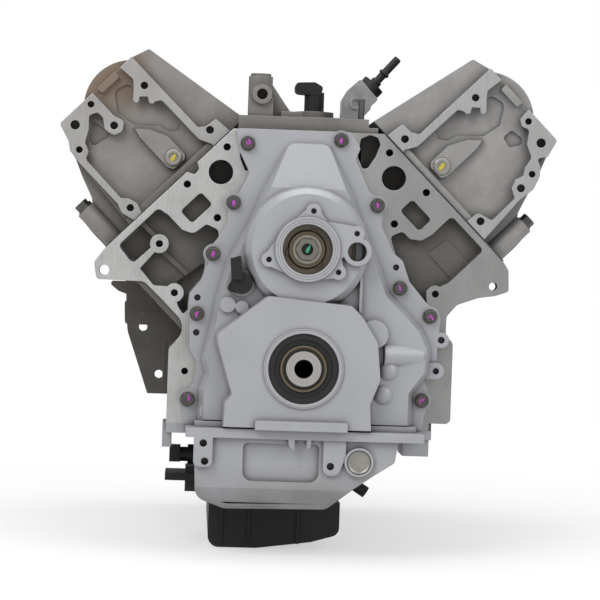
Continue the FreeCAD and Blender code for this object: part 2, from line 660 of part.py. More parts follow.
def pushrod_and_lifter(place):
    foot = Vector(LIFTER_X, place, N.lifter_bottom)
    top = N.deck_height + ROCKER_HEIGHT - 4.4
    lifter = Part.makeCylinder(N.lifter_dia / 2 - N.running_gap, N.lifter_length, foot + Vector(0, 0, 6))
    roller = along_y(LIFTER_X, N.lifter_bottom + 9, 9, place - 5.4, place + 5.4)
    rod = rod_between(foot + Vector(0, 0, N.lifter_length), Vector(LIFTER_X, place, top - 4), N.pushrod_dia / 2)
    ball = Part.makeSphere(N.pushrod_dia / 2, Vector(LIFTER_X, place, top - 4))
    return join([lifter, roller, rod, ball])


def rocker_stand():
    """Rail on the chamber floor with a short shaft for each rocker."""
    height = N.deck_height + ROCKER_HEIGHT
    start, end = valves()[0][0] - 18, valves()[-1][0] + 18
    floor = N.deck_height + N.chamber_floor
    pieces = [box(ROCKER_X - 5, ROCKER_X + 5, start, end, floor, height - 14)]
    half = N.rocker_width / 2 + 1
    for place, _ in valves():
        pieces.append(along_y(ROCKER_X, height, N.rocker_shaft / 2, place - half - 4, place + half + 4))
        for at in (place - half - 4, place + half):
            pieces.append(box(ROCKER_X - 6, ROCKER_X + 6, at, at + 4, height - 15, height + 6))
    clear = [Part.makeCylinder(10.5, 24, Vector(x, y, floor - 1)) for x, y in head_bolt_places() if x < 0]
    return join(pieces).cut(clear)


def over_row(make):
    return Part.makeCompound([make(*row) for row in valves()])


for side, word in ((LEFT, "left"), (RIGHT, "right")):
    add_shape(f"valves_{word}", bank(over_row(valve), side))
    add_shape(f"valve_springs_{word}", bank(over_row(lambda place, _: valve_spring(place)), side))
    add_shape(f"rockers_{word}", bank(over_row(lambda place, _: rocker(place)), side))
    add_shape(f"pushrods_{word}", bank(over_row(lambda place, _: pushrod_and_lifter(place)), side))
add_shape("rocker_stands", Part.makeCompound([bank(rocker_stand(), side) for side in (LEFT, RIGHT)]))


# Crankshaft, bearings and caps

THROWS = (0, 90, 270, 180)


def pin_centre(index):
    """Rod journal across the engine, its angle taken clockwise from straight up."""
    angle = math.radians(THROWS[index])
    return (N.stroke / 2 * math.sin(angle), N.stroke / 2 * math.cos(angle))


def crank_web(angle, y_from, y_to, weighted):
    """Cheek between a main and a rod journal, with a counterweight opposite the pin."""
    swing = N.crankcase_radius - 11
    lobe = N.rod_journal / 2 + 10
    top = N.stroke / 2 + lobe
    if weighted:
        points = [(-lobe, top - lobe + 6, 14), (lobe, top - lobe + 6, 14), (42, 4, 20), (swing, -12, 8),
                  (swing, -swing), (-swing, -swing), (-swing, -12, 8), (-42, 4, 20)]
    else:
        points = [(-lobe + 3, top - lobe + 2, 14), (lobe - 3, top - lobe + 2, 14), (42, -34, 20), (-42, -34, 20)]
    web = prism(points, y_from, y_to).common(along_y(0, 0, swing, y_from, y_to))
    web = web.fuse(along_y(0, N.stroke / 2, N.rod_journal / 2 + 8, y_from, y_to))
    return web.transformed(Rotation(Vector(0, 1, 0), angle).toMatrix(), True)


def crankshaft():
    radius = N.main_journal / 2
    places = mains()
    pieces = [along_y(0, 0, radius, places[0] - 20, places[0] + 16)]
    for index in range(4):
        here, there = places[index], places[index + 1]
        middle = (here + there) / 2
        angle = THROWS[index]
        inner, outer = 25.0, 41.0
        pieces.append(crank_web(angle, middle - outer, middle - inner, index in (0, 1, 3)))
        pieces.append(crank_web(angle, middle + inner, middle + outer, index in (0, 2, 3)))
        x, z = pin_centre(index)
        pieces.append(along_y(x, z, N.rod_journal / 2, middle - inner - 1, middle + inner + 1))
        pieces.append(along_y(0, 0, radius, middle + outer - 1, there + 16))
    nose = N.nose_dia / 2
    pieces.append(along_y(0, 0, nose, -N.nose_face, places[0] - 19))
    pieces.append(along_y(0, 0, radius + 12, places[4] + 15, N.block_length + 4))
    pieces.append(along_y(0, 0, 25, N.block_length + 3, N.block_length + 8))
    shaft = join(pieces)
    cuts = [along_y(0, 0, NOSE_THREAD, -N.nose_face - 1, 8)]
    cuts.append(along_y(0, 0, 10, N.block_length - 10, N.block_length + 9))
    for k in range(8):
        angle = math.radians(45 * k + 22.5)
        cuts.append(along_y(34 * math.cos(angle), 34 * math.sin(angle), 4.8, N.block_length - 14,
                            N.block_length + 5))
    return shaft.cut(cuts).removeSplitter()


def main_cap(place):
    half = N.cap_half - 0.05
    depth = N.cap_depth
    right = [(half, 0), (half, CAP_SHELF, 3), (54, CAP_SHELF, 1), (52, -depth, 4)]
    points = right + mirrored(right)
    cap = prism(points, place - N.main_width / 2 + 0.5, place + N.main_width / 2 - 0.5)
    cuts = [along_y(0, 0, N.main_journal / 2 + N.main_shell, place - 20, place + 20)]
    for x in CAP_BOLTS:
        cuts.append(rod_between(Vector(x, place, 1), Vector(x, place, -depth - 1), 5.6))
    return cap.cut(cuts)


def main_cap_bolts():
    bolts = []
    for place in mains():
        for x in CAP_BOLTS:
            seat = CAP_SHELF if abs(x) > 54 else -N.cap_depth
            bolts.append(flange_bolt(Vector(x, place, seat), Vector(0, 0, 1), 8, 7, 5.45, CAP_THREAD - seat))
    return Part.makeCompound(bolts)


def ring(x, z, inner, outer, y_from, y_to):
    return along_y(x, z, outer, y_from, y_to).cut(along_y(x, z, inner, y_from - 1, y_to + 1))


def main_shells():
    inner = N.main_journal / 2 + N.running_gap
    outer = N.main_journal / 2 + N.main_shell
    return Part.makeCompound([ring(0, 0, inner, outer, place - 11, place + 11) for place in mains()])


def cam_bearings():
    inner = N.cam_journal / 2 + N.running_gap
    outer = N.cam_journal / 2 + N.cam_shell
    return Part.makeCompound([ring(0, N.cam_height, inner, outer, place - 10, place + 10) for place in mains()])


add_shape("crankshaft", crankshaft())
add_shape("main_bearing_caps", Part.makeCompound([main_cap(place) for place in mains()]))
add_shape("main_cap_bolts", main_cap_bolts())
add_shape("plain_bearings", Part.makeCompound([main_shells(), cam_bearings()]))


# Camshaft, sprockets and chain

def cam_lobe(place, angle):
    """Egg of a base circle and a nose, turned to its angle."""
    nose = 8.0
    base = N.cam_base
    lobe = along_y(0, 0, base, place - 7, place + 7)
    tip = along_y(0, N.cam_nose - nose, nose, place - 7, place + 7)
    flank = prism([(-base * 0.96, 4), (base * 0.96, 4), (nose * 0.9, N.cam_nose - nose + 3.6),
                   (-nose * 0.9, N.cam_nose - nose + 3.6)], place - 7, place + 7)
    egg = lobe.fuse([tip, flank]).transformed(Rotation(Vector(0, 1, 0), angle).toMatrix(), True)
    return egg


def camshaft():
    """Shaft with a lobe under each of the sixteen lifters."""
    pieces = [along_y(0, 0, 15, -8, mains()[4] + 10)]
    for place in mains():
        pieces.append(along_y(0, 0, N.cam_journal / 2, place - 10, place + 10))
    for side, shift in ((RIGHT, 0.0), (LEFT, N.bank_stagger)):
        for index, (place, _) in enumerate(valves()):
            pieces.append(cam_lobe(place + shift, side * 45 + 67.5 * index))
    shaft = join(pieces)
    return shaft.transformed(Placement(Vector(0, 0, N.cam_height), Rotation()).toMatrix(), True)


def pitch_radius(teeth):
    return N.chain_pitch / (2 * math.sin(math.pi / teeth))


def sprocket(teeth, z, width, bore):
    """Toothed disc: tooth gaps are cut where the chain's rollers sit."""
    radius = pitch_radius(teeth)
    gap = N.chain_pitch * 0.31
    y = -N.chain_plane
    disc = along_y(0, 0, radius + 1.6, y - width / 2, y + width / 2)
    cuts = [along_y(0, 0, bore, y - width, y + width)]
    for k in range(int(teeth)):
        angle = 2 * math.pi * k / teeth
        cuts.append(along_y(radius * math.sin(angle), radius * math.cos(angle), gap, y - width, y + width))
    wheel = disc.cut(cuts)
    return wheel.transformed(Placement(Vector(0, 0, z), Rotation()).toMatrix(), True)


def tangent(side, offset):
    """Ends of a straight run of chain: on the small and on the large sprocket."""
    small = pitch_radius(N.sprocket_teeth) + offset
    large = pitch_radius(2 * N.sprocket_teeth) + offset
    lean = math.asin((large - small) / N.cam_height)
    low = Vector(side * small * math.cos(lean), 0, -small * math.sin(lean))
    return low, Vector(side * large * math.cos(lean), 0, N.cam_height - large * math.sin(lean))


def chain_loop(offset):
    """Outline that lies a given distance outside the chain's pitch line."""
    small = pitch_radius(N.sprocket_teeth) + offset
    large = pitch_radius(2 * N.sprocket_teeth) + offset
    right, left = tangent(1, offset), tangent(-1, offset)
    low = Part.Arc(left[0], Vector(0, 0, -small), right[0]).toShape()
    high = Part.Arc(right[1], Vector(0, 0, N.cam_height + large), left[1]).toShape()
    runs = [Part.LineSegment(right[0], right[1]).toShape(), Part.LineSegment(left[1], left[0]).toShape()]
    return Part.Face(Part.Wire([low, runs[0], high, runs[1]]))


def timing_chain():
    """Two rows of side plates round both sprockets, on either side of the teeth."""
    half = N.chain_width / 2
    middle = -N.chain_plane
    plate = 3.0
    pieces = []
    for start in (middle - half, middle + half - plate):
        outer = chain_loop(N.chain_height / 2).extrude(Vector(0, plate, 0))
        inner = chain_loop(-N.chain_height / 2).extrude(Vector(0, plate, 0))
        pieces.append(shifted(outer.cut(inner), start))
    for side in (1, -1):
        low, high = tangent(side, 0.0)
        for k in range(2, 11):
            at = low + (high - low) * (k / 13)
            pieces.append(along_y(at.x, at.z, 2.2, middle - half, middle + half))
    return join(pieces)


def crank_sprocket():
    y = -N.chain_plane
    wheel = sprocket(N.sprocket_teeth, 0, 5.4, N.nose_dia / 2)
    hub = ring(0, 0, N.nose_dia / 2, pitch_radius(N.sprocket_teeth) - 4, y - 12, y + 8)
    return join([wheel, hub])


def cam_phaser():
    """Chain wheel with the phaser's drum, three clamp lobes and a round hub in front of it."""
    y, z = -N.chain_plane, N.cam_height
    wheel = sprocket(2 * N.sprocket_teeth, z, 5.4, 12)
    pieces = [wheel, ring(0, z, 12, 40, y - 2, y + 13), ring(0, z, 12, 47, y - 19, y - 2.6),
              ring(0, z, 12, 19, y - 22, y - 19)]
    for k in range(3):
        angle = math.radians(120 * k + 20)
        pieces.append(along_y(17 * math.sin(angle), z + 17 * math.cos(angle), 5, y - 22, y - 19))
    return join(pieces)


def phaser_bolt():
    z = N.cam_height
    front = -N.chain_plane - 22
    head = Part.Face(hexagon(12.5)).extrude(Vector(0, 0, 6))
    head.Placement = Placement(Vector(0, front, z), Rotation(Vector(1, 0, 0), 90))
    bolt = join([head, along_y(0, z, 11.9, front - 1, -9), along_y(0, z, 15, front - 2.2, front)])
    return bolt.cut(along_y(0, z, 6, front - 7, front - 3))


add_shape("camshaft", camshaft())
add_shape("crank_sprocket", crank_sprocket())
add_shape("cam_phaser", Part.makeCompound([cam_phaser(), phaser_bolt()]))
add_shape("timing_chain", timing_chain())


# Pistons and rods

RINGS = ((26.0, 1.5), (20.5, 1.5), (14.0, 2.5))
CROWN_LAND = 47.4


def piston():
    """Piston about its wrist pin at the origin, with its rings and its pin as further solids."""
    outer = N.bore_dia / 2 - N.running_gap
    crown = N.crown_height
    profile = [(0, crown), (CROWN_LAND, crown)]
    for height, thick in RINGS:
        profile += [(CROWN_LAND, height), (43.6, height), (43.6, height - thick), (CROWN_LAND, height - thick)]
    profile += [(CROWN_LAND, 9), (outer, 8), (outer, -22), (outer - 4, -22), (outer - 5, 6), (38, 22), (0, 22)]
    body = turned(profile, Vector(), Vector(0, 0, 1))
    boss = box(-15, 15, -41, 41, -14, 23).cut(box(-16, 16, -13, 13, -16, 24))
    body = body.fuse(boss)
    cuts = [box(-50, 50, side * 39 - 8 + side * 8, side * 39 + 8 + side * 8, -23, 5) for side in (1, -1)]
    cuts.append(along_y(0, 0, N.wrist_pin / 2, -60, 60))
    solids = [body.cut(cuts).removeSplitter()]
    for height, thick in RINGS:
        band = Part.makeCylinder(outer, thick - 0.1, Vector(0, 0, height - thick + 0.05))
        solids.append(band.cut(Part.makeCylinder(43.8, thick, Vector(0, 0, height - thick))))
    solids.append(ring(0, 0, 6, N.wrist_pin / 2, -31, 31))
    return Part.makeCompound(solids)


def pin_height(side, index):
    """Distance of a wrist pin from the crank axis, up the bore, with the crank at rest."""
    phase = math.radians(THROWS[index] - side * 45)
    across = N.stroke / 2 * math.sin(phase)
    return N.stroke / 2 * math.cos(phase) + math.sqrt(ROD_LENGTH ** 2 - across ** 2)


def connecting_rod():
    """Forked I section rod with its big end at the origin and its small end up."""
    long = ROD_LENGTH
    half = 11.9
    big = N.rod_journal / 2
    small = N.wrist_pin / 2
    shank = prism([(-15, big), (15, big), (11, long - small), (-11, long - small)], -half + 1, half - 1)
    panel = [(-8, big + 16, 4), (8, big + 16, 4), (5, long - small - 14, 3), (-5, long - small - 14, 3)]
    body = shank.fuse([along_y(0, 0, big + 6.4, -half, half), along_y(0, long, small + 6, -half + 1, half - 1),
                       box(-big - 13, big + 13, -half + 1, half - 1, -11, 11)])
    cuts = [prism(panel, -half, -3), prism(panel, 3, half)]
    cuts.append(along_y(0, 0, big + N.running_gap, -half - 1, half + 1))
    cuts.append(along_y(0, long, small + N.running_gap, -half - 1, half + 1))
    return body.cut(cuts)


def place_piston(side, index):
    upright = piston().transformed(Placement(Vector(0, bores()[index], pin_height(side, index)),
                                             Rotation()).toMatrix(), True)
    return bank(upright, side)


def place_rod(side, index):
    x, z = pin_centre(index)
    height = pin_height(side, index)
    top = Vector(side * height / math.sqrt(2), 0, height / math.sqrt(2))
    lean = math.degrees(math.atan2(top.x - x, top.z - z))
    shift = N.bank_stagger if side == LEFT else 0
    place = Placement(Vector(x, bores()[index] + shift, z), Rotation(Vector(0, 1, 0), lean))
    return connecting_rod().transformed(place.toMatrix(), True)


for side, word in ((LEFT, "left"), (RIGHT, "right")):
    for index in range(4):
        add_shape(f"piston_{word}_{index + 1}", place_piston(side, index))
        add_shape(f"connecting_rod_{word}_{index + 1}", place_rod(side, index))


# Front cover

COVER_BOLTS = [(-65, VALLEY_RAIL - 16), (34, VALLEY_RAIL - 9), (-78, 172), (75, 174), (-98, 117), (102, 87),
               (-113, 53), (135, 58), (-120, -38), (129, -32)]
COVER_EDGE = [(-78, VALLEY_RAIL, 4), (-73, VALLEY_RAIL - 25, 8), (-62, 204, 10), (-72, 184, 5), (-84, 168, 5),
              (-84, 150, 10),
              (-97, 128, 6), (-104, 104, 8), (-112, 84, 6), (-121, 74, 5), (-120, 16, 8), (-112, 2, 8),
              (-114, -20, 6), (-125, -34, 5), (-125, -58, 4), (-120, -65), (130, -65), (134, -42, 5),
              (139, -30, 4), (132, -12, 5), (144, 10, 10), (144, 28, 4), (147, 58, 8), (131, 72, 6),
              (112, 94, 6), (104, 116, 6), (94, 124, 5), (80, 152, 8), (82, 178, 6), (66, 188, 6),
              (50, VALLEY_RAIL - 29, 6), (55, VALLEY_RAIL - 17, 5), (44, VALLEY_RAIL, 4)]
COVER_BODY = [(-22, VALLEY_RAIL - 13, 12), (-50, 184, 20), (-64, 148, 10), (-84, 112, 12), (-95, 70, 10), (-101, 38, 10),
              (-108, 6, 6), (-104, -10, 6), (-110, -26, 6), (-110, -65), (120, -65), (120, -26, 8),
              (136, -4, 6), (138, 24, 8), (128, 46, 12), (92, 82, 12), (82, 108, 10), (64, 148, 12),
              (50, 184, 20), (22, VALLEY_RAIL - 13, 12)]
PLATEAU = [(-84, -65), (-83, -37, 3), (-76, -29, 3), (-92, 23, 5), (-93, 34, 6), (-40, 77, 10), (50, 69, 12),
           (63, 55, 8), (79, 30, 10), (83, -10, 12), (73, -36, 6), (75, -65)]
CAM_LUGS = [(5, 165), (-40, 113), (51, 143), (33, 102)]


def lug_web(x, z, cam, y_from, y_to):
    """Web that widens from a lug of the cam ring towards the ring."""
    reach = math.hypot(x, z - cam)
    along = (x / reach, (z - cam) / reach)
    corners = [(reach, 8), (18, 27), (18, -27), (reach, -8)]
    return prism([(far * along[0] - out * along[1], cam + far * along[1] + out * along[0]) for far, out in corners],
                 y_from, y_to)


def front_cover():
    flange, face = -N.cover_flange, -N.cover_face
    cam = N.cam_height
    ring_face = -N.cam_ring
    plateau_face = face - 5
    shelf = -32.0
    solids = [prism(COVER_EDGE, flange, 0)]
    solids += [along_y(x, z, 10.5, flange, 0) for x, z in COVER_BOLTS]
    solids.append(tapered(COVER_BODY, flange + 0.5, shelf, 7))
    solids.append(tapered(PLATEAU, shelf + 6, plateau_face, 2))
    dome = [(0, 0), (66, 0), (66, 22), (64, 30), (58, -face - 12), (0, -face - 12)]
    solids.append(turned(dome, Vector(0, flange, cam), Vector(0, -1, 0)))
    solids.append(along_y(0, cam, 34, ring_face, face + 6))
    for x, z in CAM_LUGS:
        solids.append(along_y(x, z, 8, ring_face + 3, face + 6))
        solids.append(lug_web(x, z, cam, ring_face + 3, face + 6))
    solids.append(along_y(52, 124, 15, ring_face + 3, shelf))
    solids.append(along_y(0, 0, 42, plateau_face - 2, plateau_face + 2))
    solids.append(box(-49, 48, plateau_face - 7, plateau_face + 2, N.pan_rail, -55))
    solids.append(along_y(74, 38, 15, shelf - 10, shelf + 4))
    solids.append(rod_between(Vector(84, shelf + 4, 16), Vector(126, shelf + 12, 16), 13))
    solids += [Part.makeSphere(14, Vector(x, shelf + 9, z)) for x, z in ((91, 0), (86, -26))]
    solids.append(box(-112, 122, shelf - 2, 0, N.pan_rail, N.pan_rail + 6))
    solids += [along_y(128, 0, 9, flange - 3, 0), along_y(143, 0, 9, flange - 3, 0)]
    solids.append(box(128, 143, flange - 3, 0, -9, 9))
    solids += [along_y(148, 33, 8.5, flange, 0), along_y(-81, 64, 8.4, shelf - 4, flange)]
    solids += [along_y(-66, 62, 7, shelf - 4, flange), along_y(-97, -49, 10, shelf + 2, flange)]
    solids.append(along_y(*SENSOR_PLACE, 14, shelf - 4, flange))
    solids.append(box(57, 60, shelf - 8, shelf + 4, 60, 108))
    cover = solids[0].fuse(solids[1:])
    crown = [(shelf - 1, 186), (flange - 0.5, VALLEY_RAIL - 5), (flange - 0.5, VALLEY_RAIL + 9),
             (shelf - 1, VALLEY_RAIL + 9)]
    slope = Part.Face(Part.makePolygon([Vector(-60, y, z) for y, z in crown + crown[:1]]))
    cavity = prism(inset(COVER_BODY, 9), -28.5, 1).cut(box(-60, 60, -40, -6, 180, VALLEY_RAIL))
    cuts = [slope.extrude(Vector(120, 0, 0)), cavity, box(-96, 106, -28.5, 1, N.pan_rail - 1, -50)]
    cuts.append(prism(inset(PLATEAU, 8), face + 2, -20))
    cuts.append(along_y(*SENSOR_PLACE, 12, -90, -36))
    cuts.append(prism([(-85, 78), (-62, 74), (-62, 100), (-79, 100)], -90, -36))
    cuts.append(along_y(0, cam, 61, face + 8, 1))
    cuts.append(along_y(0, cam, N.cam_window / 2, ring_face - 1, 0))
    cuts.append(along_y(0, cam, N.cam_window / 2 + 1.5, ring_face + N.window_depth, 0))
    cuts.append(along_y(0, 0, N.seal_bore / 2, plateau_face - 3, face + 3))
    cuts += [along_y(x, z, 2.9, ring_face, face + 2) for x, z in CAM_LUGS]
    cuts.append(along_y(52, 124, 10, ring_face, 0))
    cuts.append(along_y(*SENSOR_PLACE, 7, shelf - 6, 0))
    for x, z, radius in ((-113, 70, 3.4), (-113, 33, 3.4), (97, 109, 3.3), (148, 33, 3.6), (143, 0, 3.4),
                         (128, 0, 3.4)):
        cuts.append(along_y(x, z, radius, flange - 5, flange + 8))
    cuts += [along_y(x, z, N.bolt_shank / 2 + 0.2, flange - 1, 1) for x, z in COVER_BOLTS]
    cover = cover.cut(cuts)
    return cover.cut(box(-200, 200, -80, 1, N.pan_rail - 60, N.pan_rail)).removeSplitter()


def cover_bolts():
    start = -N.cover_flange
    return Part.makeCompound([flange_bolt(Vector(x, start, z), Vector(0, 1, 0), N.bolt_head / 2, 7,
                                          N.bolt_shank / 2, -start - 0.5) for x, z in COVER_BOLTS])


def seal(label, inner, outer, y_front, depth):
    """Rubber lip seal turned about the crank axis, its front face at y_front."""
    body = new_body(label)
    step = (outer - inner) / 3
    near, far = depth * 0.3, depth * 0.7
    revolve(body, [(inner, 0.5), (inner + step, 0.5), (inner + step, near), (outer - step, near),
                   (outer - step, 0), (outer, 0), (outer, depth), (inner + step, depth), (inner + step, far),
                   (inner, far)])
    body.Placement = Placement(Vector(0, y_front, 0), Rotation(Vector(1, 0, 0), -90))
    return body


def cam_sensor():
    """Moulded position sensor: round body in its boss, ear and connector turned upwards."""
    x, z = SENSOR_PLACE
    face = -36
    pieces = [along_y(x, z, 11, face - 10, face), along_y(x, z, 6.8, face - 2, -14)]
    pieces.append(prism([(x - 17, z - 8, 4), (x + 4, z - 12, 4), (x + 4, z + 8, 3), (x - 8, z + 8, 3)],
                        face - 7, face))
    pieces.append(prism([(x - 11, z + 4), (x + 1, z + 4), (x - 2, z + 29, 1), (x - 13, z + 26, 1)],
                        face - 14, face - 2))
    return join(pieces)


def head_plug(side):
    x, height = PLUG_PLACE
    place = Vector(x, N.head_front + 3, N.deck_height + height)
    plug = turned([(0, -2.5), (PLUG_RADIUS - 0.03, -2.5), (PLUG_RADIUS - 0.03, 1), (PLUG_RADIUS - 2, 2.4),
                   (5, 2.4), (4.2, 1.2), (0, 1.2)], place, Vector(0, -1, 0))
    return bank(plug, side)


add_shape("front_cover", front_cover())
add_shape("front_cover_bolts", cover_bolts())
seal("crank_front_seal", Q.nose_dia / 2 + Q.running_gap, Q.seal_bore / 2, -N.cover_face - 5, 9)
add_shape("cam_position_sensor", cam_sensor())
add_shape("head_plugs", Part.makeCompound([head_plug(LEFT), head_plug(RIGHT)]))
add_shape("cam_thrust_plate", ring(0, N.cam_height, 15.3, 45, -5, 0))
add_shape("oil_pump", join([ring(0, 0, 19, 44, -12, 0), box(-40, -18, -12, 0, -46, -20)]))


# Oil pan and sump

PAN_EDGE = [(-112, -70), (-109, -140, 16), (-78, -152, 12), (30, -150, 12), (57, -126, 8), (80, -110, 8),
            (100, -97, 6), (104, -70)]


def oil_pan():
    rail, flange = N.pan_rail, N.pan_flange
    low = rail - flange
    front = -N.pan_front
    back = N.block_length
    half = N.skirt_half
    solids = [box(-half, half, 0, back, low, rail), box(-121, 130, front - 8, 0, low, rail)]
    solids.append(prism(PAN_EDGE, front, back - 10))
    solids.append(prism([(-112, rail - 2), (-92, rail - 2), (-92, -106, 6), (-112, -106, 6)], front - 8, front + 4))
    solids.append(prism([(-13, rail - 2), (11, rail - 2), (11, -86, 8), (-13, -86, 8)], front - 8, front + 4))
    solids.append(prism([(24, rail - 2), (48, rail - 2), (48, -92, 8), (40, -112, 8), (24, -112, 8)],
                        front - 5, front + 4))
    solids.append(along_y(62, -97, 15.5, front - 6, front + 8))
    solids.append(prism([(-150, -60), (-half + 6, -60), (-half + 6, -92), (-150, -92)], 20, 60)
                  .common(box(-half - 4, 0, 0, 60, -92, rail)))
    solids.append(box(112, 140, 4, 60, -93, rail - 2))
    pan = solids[0].fuse(solids[1:])
    slope = Part.Face(Part.makePolygon([Vector(-200, front - 12, -128), Vector(-200, front, -128),
                                        Vector(-200, front + 24, -156), Vector(-200, front - 12, -156),
                                        Vector(-200, front - 12, -128)])).extrude(Vector(400, 0, 0))
    cuts = [slope, prism(inset(PAN_EDGE, N.pan_wall)[:-1] + [(98, -60), (-104, -60)], front + 14, back - 18)]
    cuts.append(prism([(-60, -80, 5), (20, -80, 5), (20, -120, 10), (-60, -120, 10)], front - 1, front + 6))
    for x, z in ((-102, -81), (-100, -100), (32, -102)):
        cuts.append(along_y(x, z, 3.9, front - 9, front + 6))
    cuts.append(along_y(62, -97, 12.8, front - 7, front + 2))
    cuts.append(box(-80, 40, 80, 310, -160, -130))
    for x, y in pan_bolt_places():
        cuts.append(rod_between(Vector(x, y, rail + 1), Vector(x, y, low - 30), 4.2))
        cuts.append(rod_between(Vector(x, y, low), Vector(x, y, low - 30), 8.5))
    return pan.cut(cuts).removeSplitter()


def pan_bolt_places():
    side = N.skirt_half - 7.5
    places = [(x, y) for y in (80, 160, 240, 320, 400, 480) for x in (-side, side)]
    return places + [(-84, -30), (0, -44), (88, -30)]


def pan_bolts():
    """Screws up through the flange; the middle front one lies in the lug, facing forwards."""
    low = N.pan_rail - N.pan_flange
    bolts = []
    for x, y in pan_bolt_places():
        if y == -44:
            continue
        bolts.append(flange_bolt(Vector(x, y, low), Vector(0, 0, 1), 7.5, 6, 4.1, N.pan_flange - 0.5))
    return Part.makeCompound(bolts)


def lower_sump():
    """Moulded sump under the pan, deeper on its left, with upright ribs on the front."""
    top = -152.2
    edge = [(-93, top), (-93, -204, 12), (-40, -204, 30), (20, -196, 20), (51, -187, 10), (51, top)]
    sump = prism(edge, 62, 330)
    cavity = [(-88, top + 1), (-88, -199, 10), (-40, -199, 28), (18, -191, 18), (46, -183, 8), (46, top + 1)]
    ribs = [box(x, x + 2.5, 58, 64, -198, top - 6) for x in (-80, -50, 4)]
    return sump.fuse(ribs).cut(prism(cavity, 67, 325)).removeSplitter()


def cup_plug(label, radius, x, y_front, z):
    """Pressed sheet cup: a flat disc with a rolled rim, open at the back."""
    body = new_body(label)
    revolve(body, [(0, 1), (radius - 3, 1), (radius - 1, 0), (radius, 1), (radius, 7), (radius - 1.5, 7),
                   (radius - 1.5, 2.5), (0, 2.5)])
    body.Placement = Placement(Vector(x, y_front, z), Rotation(Vector(1, 0, 0), -90))
    return body


def level_sensor():
    """Black plug with a hexagon and a connector in the left wall of the pan."""
    start = Vector(-110, 84, -105)
    pieces = [rod_between(start, start + Vector(-8, 0, 0), 11), rod_between(start, start + Vector(-20, 0, 0), 8)]
    pieces.append(box(-138, -126, 75, 93, -113, -95))
    return join(pieces).cut(prism(inset(PAN_EDGE, -0.05), 0, 200))


def filter_adapter():
    pieces = [box(-142, -104, 60, 116, -132, -124), box(-120, -104, 64, 112, -144, -118)]
    return join(pieces).cut(prism(inset(PAN_EDGE, -0.05), 0, 200))


def drain_stub():
    start = Vector(58, 96, -128)
    along = Vector(0.84, 0, -0.54)
    pieces = [rod_between(start, start + along * 14, 4), rod_between(start + along * 12, start + along * 28, 6.5)]
    return join(pieces).cut(prism(inset(PAN_EDGE, -0.05), 0, 200))


def pickup():
    """Suction tube from the pump down into the sump, with a bell at its end."""
    points = [Vector(-29, -9, -46), Vector(-29, -9, -104), Vector(-29, 190, -132), Vector(-29, 190, -140)]
    pieces = [rod_between(a, b, 7) for a, b in zip(points, points[1:])]
    pieces += [Part.makeSphere(7, point) for point in points[1:3]]
    pieces.append(turned([(0, 0), (10, 0), (28, 8), (28, 12), (0, 12)], points[3], Vector(0, 0, -1)))
    return join(pieces)


def side_bracket(block):
    edge = [(-204, 84), (-168, 84), (-150, 66), (-124, 34), (-128, 0, 4), (-150, 26, 4), (-150, 37, 4),
            (-191, 37, 4), (-192, 62, 4), (-182, 67, 4), (-199, 73, 4), (-213, 84, 3)]
    plate = prism(edge, 60, 63).cut([along_y(-173, 47, 3.4, 59, 64), block])
    return max(plate.Solids, key=lambda solid: solid.Volume)


pan_plug_radius = 12.75
add_shape("oil_pan", oil_pan())
add_shape("oil_pan_bolts", pan_bolts())
add_shape("lower_sump", lower_sump())
cup_plug("pan_core_plug", pan_plug_radius, 62, -N.pan_front - 5, -97)
add_shape("pan_fittings", Part.makeCompound([level_sensor(), drain_stub()]))
add_shape("filter_adapter", filter_adapter())
add_shape("oil_pickup", pickup())
add_shape("side_bracket", side_bracket(NODES[0].Shape))


# Valley cover and what stands on it

def valley_cover():
    """Cast lid over the lifter valley, with the fitting tower at its front left corner."""
    rail = VALLEY_RAIL
    top = rail + 17
    solids = [box(-VALLEY_EDGE, VALLEY_EDGE, 4, N.block_length - 24, rail, rail + 6)]
    solids.append(prism([(-60, rail + 4), (-55, top, 4), (55, top, 4), (60, rail + 4)], 30, N.block_length - 50))
    solids.append(box(-75, 64, 4, 22, rail, top - 2))
    solids.append(Part.makeCylinder(13, 54, Vector(-52.5, 26, rail + 4)))
    solids.append(Part.makeCylinder(11, 4, Vector(-52.5, 26, rail + 57)))
    solids.append(along_y(-51, rail + 38, 10.4, 3, 26))
    solids.append(box(-64.5, -39, 8, 26, rail + 4, rail + 35))
    solids.append(prism([(-41, rail + 51), (-17, top), (-41, top - 4)], 20, 27))
    solids.append(box(-30, -8, 10, 34, top - 4, top + 4))
    solids.append(Part.makeCylinder(22, 26, Vector(10, 110, rail + 1)))
    cover = solids[0].fuse(solids[1:])
    cuts = [along_y(-51, rail + 38, 5.8, 2, 22), Part.makeCylinder(8, 22, Vector(-52.5, 26, rail + 42))]
    cuts.append(Part.makeCylinder(8, 12, Vector(10, 110, rail + 16)))
    cuts += [rod_between(Vector(x, y, rail - 1), Vector(x, y, rail + 8), 3.4) for x, y in valley_bolt_places()]
    return cover.cut(cuts).removeSplitter()


def valley_bolt_places():
    return [(side * (VALLEY_EDGE - 8), y) for y in (66, 160, 254, 348, 442) for side in (-1, 1)]


def valley_bolts():
    seat = VALLEY_RAIL + 6
    bolts = [flange_bolt(Vector(x, y, seat), Vector(0, 0, -1), 4.2, 5, 3.3, 5.5) for x, y in valley_bolt_places()]
    bolts.append(Part.makeCylinder(3.4, 22, Vector(56, 13, VALLEY_RAIL + 15)))
    return Part.makeCompound(bolts)


def pressure_sensor():
    x, y = 10, 110
    foot = VALLEY_RAIL + 27
    pieces = [Part.makeCylinder(11, 22, Vector(x, y, foot)), Part.makeCylinder(7.8, 14, Vector(x, y, foot - 10))]
    head = prism([(-12, foot + 20, 5), (17, foot + 18, 3), (19, foot + 28, 3), (10, foot + 33, 4),
                  (-12, foot + 32, 5)], y - 11, y + 11)
    return join(pieces + [head])


